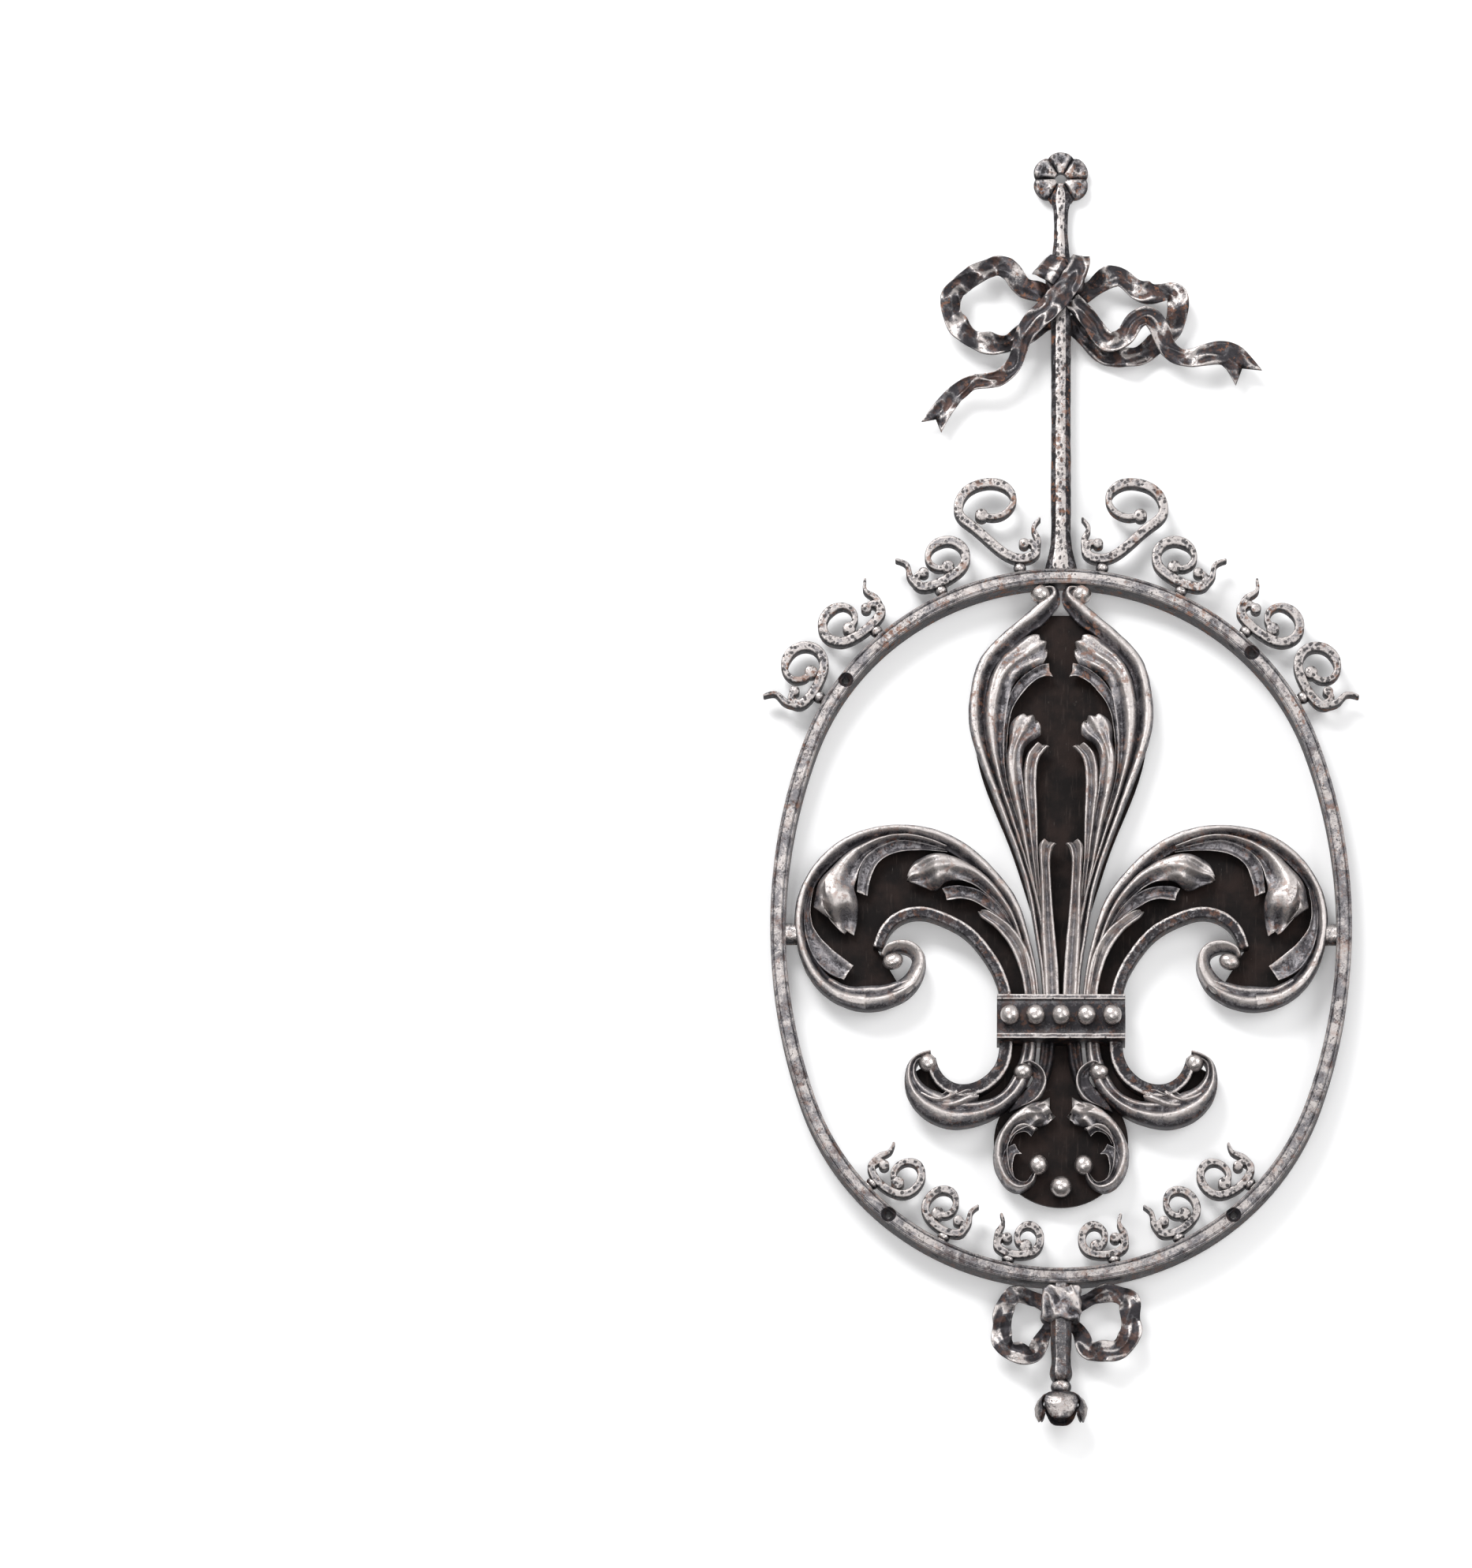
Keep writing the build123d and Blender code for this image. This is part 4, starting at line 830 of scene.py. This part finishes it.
def makeBallsAndCollar():
    for node, x, z, forward, diameter, stretch, turned, twin in balls:
        parts = MeshParts()
        parts.add(*ballGrid(x, z, forward, diameter, stretch, turned))
        if twin:
            makeTogether(f"{node}_iron", parts, ballIron, [node])
        else:
            makePiece(f"{node}_iron", parts, ballIron, [node])
    place = collarPlace
    band, heads = MeshParts(), MeshParts()
    half, back = place["width"] / 2, place["back"]
    line = [(x, place["z"], place["height"]) for x in (-half, half)]
    band.add(*barGrid(line, back, place["front"] - back, count=120, rounding=1.2, face=0.1, edge=0.7))
    for side in (-1, 1):
        z = place["z"] + side * (place["height"] - place["lip"]) / 2
        line = [(x, z, place["lip"]) for x in (-half, half)]
        band.add(*barGrid(line, back, place["lipFront"] - back, count=120, rounding=0.9, face=0.5))
    makePiece("collar_iron", band, collarIron, ["collar"], wear=0.25)
    for k in range(place["balls"]):
        x = (k - (place["balls"] - 1) / 2) * place["pitch"]
        heads.add(*ballGrid(x, place["z"], place["ballForward"], place["ball"], 1.05, 90))
    makePiece("collar_balls_iron", heads, ballIron, ["collar_balls"])


# Scroll cresting, drawn along the rim: facing, spiral radius, rise, lean and radius of the small curl
cresting = {
    "crest": {"angles": (8.5, 25.5, 41.5, 60.0), "face": 8.5, "reach": 11.0, "upper": True,
              "shapes": ((1, 25, 58, 14, 8.5), (-1, 20, 20, 14, 8.5), (1, 20, 20, 16, 8.5),
                         (-1, 21, 21, 15, 8.5))},
    "base": {"angles": (12.0, 27.5, 48.0), "face": 7.0, "reach": 9.0, "upper": False,
             "shapes": ((-1, 16, 16, 14, 7.5), (1, 19, 19, 16, 7.5), (-1, 20, 20, 17, 7.5))},
    "tipFace": 5.5, "back": 6.0, "depth": 12.0, "eye": 12.0, "seat": 0.5,
}


# Radius of the rim's wall that the scrolls stand on
def arcRadius(upper):
    return endRadius if upper else endRadius - rimOval["face"]


# Place at that length along the wall and height off it
def onArc(s, h, upper):
    radius = arcRadius(upper)
    turn = s / radius
    reach = radius + h if upper else radius - h
    rise = 1 if upper else -1
    return reach * math.sin(turn), ovalZ + rise * (endOffset + reach * math.cos(turn))


def makeScroll(kind, number, angle, shape):
    ring = cresting[kind]
    facing, radius, rise, lean, curl = shape
    foot = math.radians(angle) * arcRadius(ring["upper"])
    base = ring["reach"] - cresting["seat"] + ring["face"] / 2
    points = []
    for index in range(5):
        turn = math.radians(70 + 50 * index)
        size = curl * (0.7 + 0.3 * index / 4)
        points.append((size * math.cos(turn) - curl, base + curl + size * math.sin(turn)))
    start = -90 if rise <= radius else -50
    for index in range(9):
        turn = math.radians(start + 45 * index)
        size = radius * (1 - 0.5 * index / 8)
        points.append((lean + size * math.cos(turn), base + rise + size * math.sin(turn)))
    widths = [cresting["tipFace"]] * 2 + [ring["face"]] * 8 + [cresting["tipFace"]] * 4
    line = [(*onArc(foot + facing * s, h, ring["upper"]), w) for (s, h), w in zip(points, widths)]
    leaf = [(-2.0, 0.9, 1.0), (-2.1, 2.1, 1.0), (-1.8, 3.2, 0.7), (-2.5, 4.4, 0.4)]
    sprout = [(*onArc(foot + facing * u * curl, base + v * curl, ring["upper"]), cresting["tipFace"] * w)
              for u, v, w in leaf]
    parts = MeshParts()
    back, depth = cresting["back"], cresting["depth"]
    parts.add(*barGrid(line, back, depth, count=150, rounding=1.3, taperEnds=True, face=0.7))
    parts.add(*barGrid(sprout, back, depth, count=50, rounding=1.2, taperEnds=True, face=0.7))
    parts.add(*discGrid(line[0][0], line[0][1], cresting["eye"] * 0.4, back, depth))
    parts.add(*discGrid(line[-1][0], line[-1][1], cresting["eye"] / 2, back, depth))
    for side, word in ((1, "right"), (-1, "left")):
        makePiece(f"{kind}_scroll_iron_{word}_{number}", parts, crestIron,
                  [f"{kind}_scroll_{word}_{number}"], side, 0.15)


# Riveted ends of the studs' tenons, on the far wall of the rim
def makeTenonEnds():
    radius, middle, reach = 4.6, rimOval["depth"] / 2, -rimOval["face"] - 0.35
    about = np.linspace(0, 2 * math.pi, 28, endpoint=False)
    for kind in ("crest", "base"):
        ring, parts = cresting[kind], MeshParts()
        for angle in ring["angles"]:
            foot = math.radians(angle) * arcRadius(ring["upper"])
            rows = []
            for share, lift in ((0.02, 0.0), (0.7, 0.05), (0.93, 0.0), (1.0, 0.25), (1.0, 0.6)):
                out = radius * share
                places = np.array([onArc(foot + out * math.cos(turn), reach + lift, ring["upper"])
                                   for turn in about])
                rows.append(fromWall(places[:, 0], middle + out * np.sin(about), places[:, 1]))
            parts.add(np.stack(rows), np.array([0.0, 0.05, 0.3, 0.2, 0.0])[:, None] + 0 * about[None, :])
        makeTogether(f"{kind}_tenon_ends_iron", parts, barIron, [])


makeSideBars()
makeBallsAndCollar()
makeTenonEnds()
for kind in ("crest", "base"):
    for number, (angle, shape) in enumerate(zip(cresting[kind]["angles"], cresting[kind]["shapes"]), start=1):
        makeScroll(kind, number, angle, shape)
print("bars and cresting ready")


# Ribbons: rows of x, z, width and distance forward
ribbonSheet = {"thickness": 2.6, "width": 19.0, "folds": 7, "foldDepth": 4.8, "offWall": 0.8}
bowLeftLoop = (
    (-12, -118, 12), (-32, -112, 15), (-47, -96, 14), (-60, -89, 15), (-77, -98, 14), (-94, -108, 13),
    (-102, -125, 15), (-97, -147, 16), (-82, -161, 14), (-62, -166, 10), (-38, -158, 7), (-8, -138, 9),
)
bowRightLoop = (
    (10, -122, 12), (27, -113, 14), (42, -103, 15), (55, -101, 14), (70, -112, 13), (87, -117, 14),
    (103, -115, 15), (109, -130, 13), (102, -151, 11), (80, -171, 8), (52, -178, 7), (28, -163, 7),
    (8, -138, 9),
)
bowFrontTail = (
    (19, -82, 15, 19), (18, -88, 19, 27), (13, -103, 20.5, 29.2), (2, -120, 21.5, 29),
    (-13, -137, 22, 27.5), (-27, -151, 21, 25), (-36, -166, 16, 21), (-41, -182, 14, 18),
    (-50, -196, 15, 17), (-64, -204, 15, 18), (-82, -206, 14, 16), (-100, -218, 17, 12),
    (-120, -247, 21, 9),
)
bowBackTail = (
    (10, -126, 16, 20), (30, -150, 18, 18), (45, -166, 19, 17), (58, -163, 18, 22), (69, -148, 18, 26),
    (80, -143, 18, 26), (90, -152, 18, 22), (98, -171, 17, 18), (112, -181, 16, 17), (132, -180, 19, 19),
    (152, -177, 24, 17), (174, -200, 28, 13),
)
dropRight = (
    (12, -20, 12, 10), (32, -9, 14, 9), (50, -7, 17, 11), (61, -15, 19, 14), (63, -31, 19, 15),
    (62, -48, 19, 14), (53, -59, 19, 15), (41, -62, 19, 14), (26, -60, 18, 12), (16, -42, 13, 9),
    (8, -30, 10, 9),
)
dropLeft = (
    (12, -20, 12, 10), (28, -10, 14, 9), (42, -9, 16, 11), (50, -18, 17, 14), (53, -35, 18, 15),
    (54, -47, 18, 14), (49, -59, 18, 15), (38, -64, 18, 14), (25, -64, 17, 12), (17, -48, 13, 9),
    (8, -34, 10, 9),
)


# Bent ribbon of sheet iron: square folds across it, hand-set creases, and an optional swallowtail
def ribbonGrid(rows, folds, depth, values=None, count=240, across=19):
    values = {"notch": 0.0, "skew": 0.25, "hollow": 0.8, "darkEnds": 0.0, "crease": 1.3, "seed": 1.0,
              "contrast": 0.3, **(values or {})}
    shares, places, sides, others, length = along(rows)
    u = np.linspace(-1, 1, across)
    end = 1.0 - values["notch"] / length * (1 - np.abs(u)) ** 0.9
    t = np.linspace(0, 1, count)[:, None] * end[None, :]
    place, side, other = (atShares(shares, table, t) for table in (places, sides, others))
    phase = 2 * math.pi * folds * (t + values["skew"] / max(folds, 1) * u * 0.5)
    wave = np.arcsin(0.95 * np.sin(phase)) / 1.25
    width = other[..., 0] * (1 + 0.09 * np.sin(phase + 0.8) * (depth > 2))
    x = place[..., 0] + side[..., 0] * width / 2 * u
    z = place[..., 1] + side[..., 1] * width / 2 * u
    seed = values["seed"]
    flat = zip((t * length / 19).ravel(), (u[None, :] * width / 16).ravel())
    ridge = np.array([1 - 2.4 * abs(noise.noise(Vector((a + seed, b, seed * 3)))) for a, b in flat])
    ridge = ridge.reshape(t.shape)
    forward = other[..., 1] + depth * wave * (0.8 + 0.2 * u) - values["hollow"] * (1 - u * u)
    forward = forward + values["crease"] * (ridge - 0.8)
    forward = np.maximum(forward, ribbonSheet["thickness"] / 2 + ribbonSheet["offWall"])
    # Fold faces lighter on one side and darker on the other by their slope: painted light and shade
    slope = np.cos(phase)
    slope = np.sign(slope) * np.abs(slope) ** 0.4
    shine = 0.4 + values["contrast"] * slope + 1.1 * (ridge - 0.66) + 0.45 * np.abs(u) ** 8
    # Darker ends, where the loops run under the knot: painted shade
    shine = shine - values["darkEnds"] * (1 - smoothStep(0.06, 0.2, t) * (1 - smoothStep(0.82, 0.94, t)))
    thick = ribbonSheet["thickness"]
    top = fromWall(x, forward + thick / 2, z)
    under = fromWall(x, forward - thick / 2, z)[:, ::-1]
    grid = np.concatenate([top, under], axis=1)
    # The underside gets 0: painted shade
    shades = np.concatenate([np.clip(shine, 0, 1), np.zeros_like(shine)], axis=1)
    return grid, shades


def withWidth(rows):
    return [(x, z, ribbonSheet["width"], forward) for x, z, forward in rows]


def makeBow():
    depth, folds = ribbonSheet["foldDepth"], ribbonSheet["folds"]
    drops = [[(side * x, rimBottom + z, width, forward) for x, z, width, forward in rows]
             for side, rows in ((1, dropRight), (-1, dropLeft))]
    pieces = (
        ("bow_loop_iron_left", withWidth(bowLeftLoop), folds, depth, {"darkEnds": 0.8}, "bow_loop_left"),
        ("bow_loop_iron_right", withWidth(bowRightLoop), folds, depth, {"darkEnds": 0.8, "seed": 3.0},
         "bow_loop_right"),
        ("bow_tail_iron_front", bowFrontTail, 3, 0.9,
         {"notch": 17.0, "contrast": 0.2, "seed": 5.0, "crease": 2.0}, "bow_tail_front"),
        ("bow_tail_iron_back", bowBackTail, 4, 1.2,
         {"notch": 20.0, "seed": 7.0, "crease": 1.8}, "bow_tail_back"),
        ("drop_bow_loop_iron_right", drops[0], 6, 2.8, {"darkEnds": 0.8, "seed": 9.0, "crease": 0.8},
         "drop_bow_loop_right"),
        ("drop_bow_loop_iron_left", drops[1], 6, 2.8, {"darkEnds": 0.8, "seed": 11.0, "crease": 0.8},
         "drop_bow_loop_left"),
    )
    for name, rows, count, depthNow, values, node in pieces:
        parts = MeshParts()
        parts.add(*ribbonGrid(rows, count, depthNow, values))
        makePiece(name, parts, ribbonIron, [node], wear=0.3)


makeBow()
print("ribbons ready")


# Cushion-like block of folded iron, as at the knots: squarish, creased by ridges of noise
def lumpGrid(centre, size, values, count=44):
    turn = np.linspace(0.02, math.pi - 0.02, count)[:, None]
    around = np.linspace(0, 2 * math.pi, 2 * count, endpoint=False)[None, :]

    def squared(value):
        return np.sign(value) * np.abs(value) ** values["square"]

    x = centre[0] + size[0] / 2 * squared(np.sin(turn)) * squared(np.cos(around))
    z = centre[1] + size[1] / 2 * squared(np.sin(turn)) * squared(np.sin(around))
    y = centre[2] + size[2] / 2 * squared(np.cos(turn)) + 0 * around
    grain, seed = values["grain"], values["seed"]
    grains = np.stack([(x + z * 0.7) / grain + seed, y / grain / 2, (z - x * 0.5) / grain / 1.7], axis=-1)
    ridge = np.array([1 - 2 * abs(noise.noise(Vector(place))) for place in grains.reshape(-1, 3)])
    ridge = ridge.reshape(x.shape)
    push = values["fold"] * (ridge - 1.0)
    x = x + push * np.sin(turn) * np.cos(around)
    z = z + push * np.sin(turn) * np.sin(around)
    y = y + push * np.cos(turn) * 1.3
    shine = np.clip(values["shine"] + (ridge - 0.5) * 0.9, 0, 1)
    # Darker towards the back: painted shade
    shine = shine * (0.15 + 0.85 * smoothStep(-0.3, 0.4, np.cos(turn)))
    return fromWall(x, y, z), shine


stemRows = (  # z, width, front, back
    (-8, 7, 10.0, 4), (-14, 13, 10.2, 2), (-22, 17, 10.4, 1), (-30, 14, 10.8, 1), (-40, 12.5, 11, 1),
    (-60, 12.5, 11.5, 1), (-75, 15, 13, 1.5), (-92, 17, 17, 2.5), (-120, 17.5, 20, 3),
    (-180, 17.5, 20.5, 3), (-260, 17, 20.5, 3), (-340, 17.5, 20.5, 3), (-362, 18.5, 20.5, 3),
    (-374, 22.5, 21, 3), (-384, 27, 21.5, 2.5), (-390.5, 29, 21.5, 2.5),
)
dropStemRows = ((-1071.6, 16, 22, 8), (-1080, 17, 23, 7), (-1100, 17.5, 23.5, 6.5), (-1130, 18, 24, 6),
                (-1150, 18, 24, 6), (-1161, 17.5, 23.5, 6.5), (-1163, 15, 22, 8))


# Eight-sided bar with a painted highlight on the front facet and painted shade on the sides and back
def stemGrid(rows, count, facet=0.5, sides=0.08, front=0.85):
    table = np.array(rows, float)
    z = np.linspace(table[0, 0], table[-1, 0], count)
    width, fore, back = (naturalCubic(-table[:, 0], table[:, k:k + 1], -z)[:, 0] for k in (1, 2, 3))
    ring, shine = [], []
    corners = ((-facet, 1), (facet, 1), (1, facet), (1, -facet),
               (facet, -1), (-facet, -1), (-1, -facet), (-1, facet))
    lights = (front, sides + 0.12, sides, sides, 0.0, sides, sides, sides + 0.12)
    for k, corner in enumerate(corners):
        after = corners[(k + 1) % 8]
        for share in (0.0, 0.07, 0.2, 0.5, 0.8, 0.93):
            bulge = 1 + 0.05 * math.sin(math.pi * share)
            ring.append([(corner[i] * (1 - share) + after[i] * share) * bulge for i in (0, 1)])
            near = max(0.0, 1 - min(share, 1 - share) / 0.1) * 0.35 if k in (0, 7) else 0.0
            shine.append(min(lights[k] + near, 1.0))
    ring = np.array(ring)
    x = ring[None, :, 0] * width[:, None] / 2
    middle, half = (fore + back) / 2, (fore - back) / 2
    y = middle[:, None] + ring[None, :, 1] * half[:, None]
    grid = fromWall(x, y, np.broadcast_to(z[:, None], x.shape))
    return grid[::-1], np.broadcast_to(np.array(shine)[None, :], x.shape)


# Six cushioned petals round a hole, with dark hearts and grooves between
def rosetteGrid():
    petals, outer, hole, thick = 6, 26.6, 5.6, 10.0
    around = np.linspace(0, 2 * math.pi, 360, endpoint=False)[None, :]
    share = np.linspace(0, 1, 30)[:, None]
    lean = (around - math.pi / 2) * petals / (2 * math.pi)
    off = (lean - np.round(lean)) * 2
    edge = outer * (1 - 0.13 * np.abs(off) ** 2.6)
    radius = hole + (edge - hole) * share
    pillow = (1 - np.abs(off) ** 5) * np.clip(1 - share ** 7, 0, 1) ** 0.5
    heart = np.exp(-(((share - 0.64) / 0.26) ** 2 + (off / 0.62) ** 2) ** 1.6)
    height = 4.6 + (thick - 4.9) * pillow * (0.82 + 0.18 * share) - 1.2 * heart - 1.0 * (1 - share) ** 3
    shine = np.clip(0.25 + 0.8 * pillow - 0.75 * heart, 0, 1) * (1 - np.abs(off) ** 9)
    x, z = radius * np.cos(around), radius * np.sin(around)
    front = fromWall(x, height, z)
    wall = fromWall(x[-1:], np.full_like(x[-1:], 0.4), z[-1:])
    back = fromWall(x[:1], np.full_like(x[:1], 0.4), z[:1])
    grid = np.concatenate([front, wall, back, front[:1]], axis=0)
    # Its side wall and back get 0: painted shade
    shades = np.concatenate([shine, 0 * shine[:2], 0 * shine[:1]], axis=0)
    return grid, shades


# One cupped petal of the drop's flower, rounded at its foot
def petalGrid(turn, values, count=26):
    angle = np.linspace(-1, 1, 2 * count)[None, :]
    down = np.linspace(0, 1, count)[:, None]
    reach = values["height"] * (1 - 0.34 * np.abs(angle) ** 3.5)
    cup = (0, 0.2), (0.12, 0.62), (0.3, 0.88), (0.55, 1.0), (0.8, 0.97), (1.0, 0.86)
    radius = values["radius"] * np.interp(down, *np.array(cup).T)
    z = values["top"] - down * reach
    way = math.radians(turn) + angle * math.radians(values["spread"])
    grids = []
    for inset in (0.0, values["thickness"]):
        out = radius - inset
        forward = values["forward"] + out * np.cos(way) * values["flat"]
        grids.append(fromWall(out * np.sin(way), forward, np.broadcast_to(z, forward.shape)))
    outerSide, innerSide = grids
    # Lighter in the middle of each petal and darker to its sides, top and foot, and 0 on the inner side:
    # painted light and shade
    lit = smoothStep(0.0, 0.3, down) * (1 - 0.5 * smoothStep(0.75, 1.0, down))
    shine = 0.25 + 0.6 * (1 - angle ** 4) * lit
    grid = np.concatenate([outerSide, innerSide[:, ::-1]], axis=1)
    return grid, np.concatenate([shine, np.zeros_like(shine)], axis=1)


flowerShape = {"top": rimBottom - 100.5, "height": 28.5, "radius": 24.0, "spread": 40.0, "thickness": 2.6,
               "forward": 17.5, "flat": 0.68}
knotWrap = ((-20, -88, 20, 10), (-17, -90.5, 24, 20), (-10, -95, 26, 26.5), (0, -102, 26, 26),
            (12, -110, 24, 20))


def makeStemAndKnots():
    stem = MeshParts()
    stem.add(*stemGrid(stemRows, 240, facet=0.52))
    stem.add(*rosetteGrid(), capEnds=False)
    makePiece("stem_iron", stem, stemIron, ["stem_and_rosette"], wear=0.35)
    knot = MeshParts()
    knot.add(*lumpGrid((4, -102, 12.5), (37, 41, 22),
                       {"grain": 16, "seed": 2.0, "fold": 1.5, "shine": -0.1, "square": 0.5}))
    knot.add(*ribbonGrid(knotWrap, 2.4, 0.8,
                         {"hollow": -1.5, "crease": 2.2, "seed": 4.0}, 90, 21))
    makePiece("bow_knot_iron", knot, ribbonIron, ["bow_knot"], wear=0.5)
    dropStem = MeshParts()
    dropStem.add(*stemGrid(dropStemRows, 60, sides=0.2, front=0.5))
    makePiece("drop_stem_iron", dropStem, ribbonIron, ["drop_stem"], wear=0.3)
    dropKnot = MeshParts()
    dropKnot.add(*lumpGrid((0, rimBottom - 19.0, 15), (38, 34.4, 28.4),
                           {"grain": 12, "seed": 5.0, "fold": 3.6, "shine": 0.55, "square": 0.32}, 60))
    makePiece("drop_knot_iron", dropKnot, leafIron, ["drop_knot"], wear=0.4)
    flower = MeshParts()
    for turn in (0, 90, 180, 270):
        flower.add(*petalGrid(turn, flowerShape))
    makePiece("flower_iron", flower, ribbonIron, ["flower_petals"], wear=0.5)


makeStemAndKnots()
print("stem, knots and flower ready")


# Carried-over nodes and their finishes
finishOfNode = {
    "rim_upper_left": rimIron, "rim_upper_right": rimIron, "rim_lower": rimIron,
    "centre_plate": plateIron, "foot_plate": plateIron,
    "wing_plate_left": plateIron, "wing_plate_right": plateIron,
    "petal_plate_left": plateIron, "petal_plate_right": plateIron,
}
for nodeName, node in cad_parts.items():
    if node.hide_render:
        continue
    node.data.materials.clear()
    node.data.materials.append(finishOfNode.get(nodeName, burnished))


# Pale ground that the sign lies on, seen from its front only
def makeStage():
    reach, behind, middle = 4.0, 0.006, -0.6
    mesh = bpy.data.meshes.new("paleGround")
    corners = [(-reach, behind, middle - reach), (reach, behind, middle - reach),
               (reach, behind, middle + reach), (-reach, behind, middle + reach)]
    mesh.from_pydata(corners, [], [(0, 1, 2, 3)])
    ground = bpy.data.objects.new("pale_ground", mesh)
    bpy.context.scene.collection.objects.link(ground)
    shader = Shader(bpy.data.materials.new("paleGround"))
    paint = shader.add("ShaderNodeBsdfDiffuse", None, {"Color": (0.93, 0.93, 0.935, 1.0)})
    glow = shader.add("ShaderNodeEmission", None, {"Color": (1, 1, 1, 1), "Strength": 0.12})
    lit = shader.add("ShaderNodeAddShader", None, {0: paint, 1: glow})
    clear = shader.add("ShaderNodeBsdfTransparent")
    path = shader.add("ShaderNodeLightPath")
    glossy = Wire(shader, path.socket.node.outputs["Is Glossy Ray"])
    diffuse = Wire(shader, path.socket.node.outputs["Is Diffuse Ray"])
    behindSide = shader.add("ShaderNodeNewGeometry", output=6)
    white = shader.add("ShaderNodeEmission", None, {"Color": (1, 1, 1, 1), "Strength": 1.0})
    shown = shader.add("ShaderNodeMixShader", None, {0: glossy, 1: lit, 2: white})
    out = shader.add("ShaderNodeMixShader", None, {0: (behindSide + diffuse).clamped(), 1: shown, 2: clear})
    shader.add("ShaderNodeOutputMaterial", None, {"Surface": out})
    mesh.materials.append(shader.owner)


lamps = {
    "key": {"place": (-1.4, -2.6, 1.6), "size": (1.8, 1.2), "watts": 95.0, "towards": (0.0, 0.0, -0.55)},
    "fill": {"place": (2.2, -2.4, -0.2), "size": (1.6, 2.0), "watts": 36.0, "towards": (0.0, 0.0, -0.6)},
    "low": {"place": (-0.3, -2.8, -2.2), "size": (1.6, 1.0), "watts": 22.0, "towards": (0.0, 0.0, -0.6)},
    "back": {"place": (0.6, 2.4, 0.6), "size": (2.0, 2.0), "watts": 40.0, "towards": (0.0, 0.0, -0.6)},
}


def makeLamps():
    for name, values in lamps.items():
        light = bpy.data.lights.new(name, "AREA")
        light.shape = "RECTANGLE"
        light.size, light.size_y = values["size"]
        light.energy = values["watts"]
        lamp = bpy.data.objects.new("lamp_" + name, light)
        bpy.context.scene.collection.objects.link(lamp)
        lamp.location = values["place"]
        way = Vector(values["towards"]) - lamp.location
        lamp.rotation_mode = "QUATERNION"
        lamp.rotation_quaternion = way.to_track_quat("-Z", "Y")


# White to the camera. Light and reflections fall off from above to below, as in a studio
def makeWorld():
    world = bpy.data.worlds.new("studio")
    bpy.context.scene.world = world
    shader = Shader(world)
    path = shader.add("ShaderNodeLightPath")
    outputs = path.socket.node.outputs
    camera, glossy = Wire(shader, outputs["Is Camera Ray"]), Wire(shader, outputs["Is Glossy Ray"])
    through = Wire(shader, outputs["Is Transmission Ray"])
    way = shader.add("ShaderNodeTexCoord", output=0)
    split = shader.add("ShaderNodeSeparateXYZ", None, {0: way})
    up = Wire(shader, split.socket.node.outputs[2])
    front = Wire(shader, split.socket.node.outputs[1])
    studio = (up * 0.75 - front * 0.65).ramp(-0.35, 0.75, 0.12, 1.0)
    strength = (camera + through).clamped()
    light = glossy * studio + (1 - glossy) * 0.5
    total = strength + (1 - strength) * light
    glow = shader.add("ShaderNodeBackground", None, {"Color": (1, 1, 1, 1), "Strength": total})
    shader.add("ShaderNodeOutputWorld", None, {"Surface": glow})


cameraPlace = {
    "place": (-0.0428, -11.021, -4.1737), "tilt": 18.0, "yaw": 1.328, "roll": 0.476, "lens": 289.74,
    "sensor": 36.0, "reach": 100.0,
}


# From below, with a long lens, so that undersides show and nothing converges, as in the photograph
def makeCamera():
    values = cameraPlace
    data = bpy.data.cameras.new("view")
    data.sensor_width = values["sensor"]
    data.lens = values["lens"]
    data.clip_end = values["reach"]
    camera = bpy.data.objects.new("view", data)
    bpy.context.scene.collection.objects.link(camera)
    camera.location = values["place"]
    way = Euler((math.radians(90 + values["tilt"]), 0.0, math.radians(values["yaw"]))).to_quaternion()
    camera.rotation_mode = "QUATERNION"
    camera.rotation_quaternion = way @ Quaternion((0.0, 0.0, 1.0), math.radians(values["roll"]))
    bpy.context.scene.camera = camera


makeStage()
makeLamps()
makeWorld()
makeCamera()
bpy.context.scene.view_settings.view_transform = "Standard"
print("stage ready")
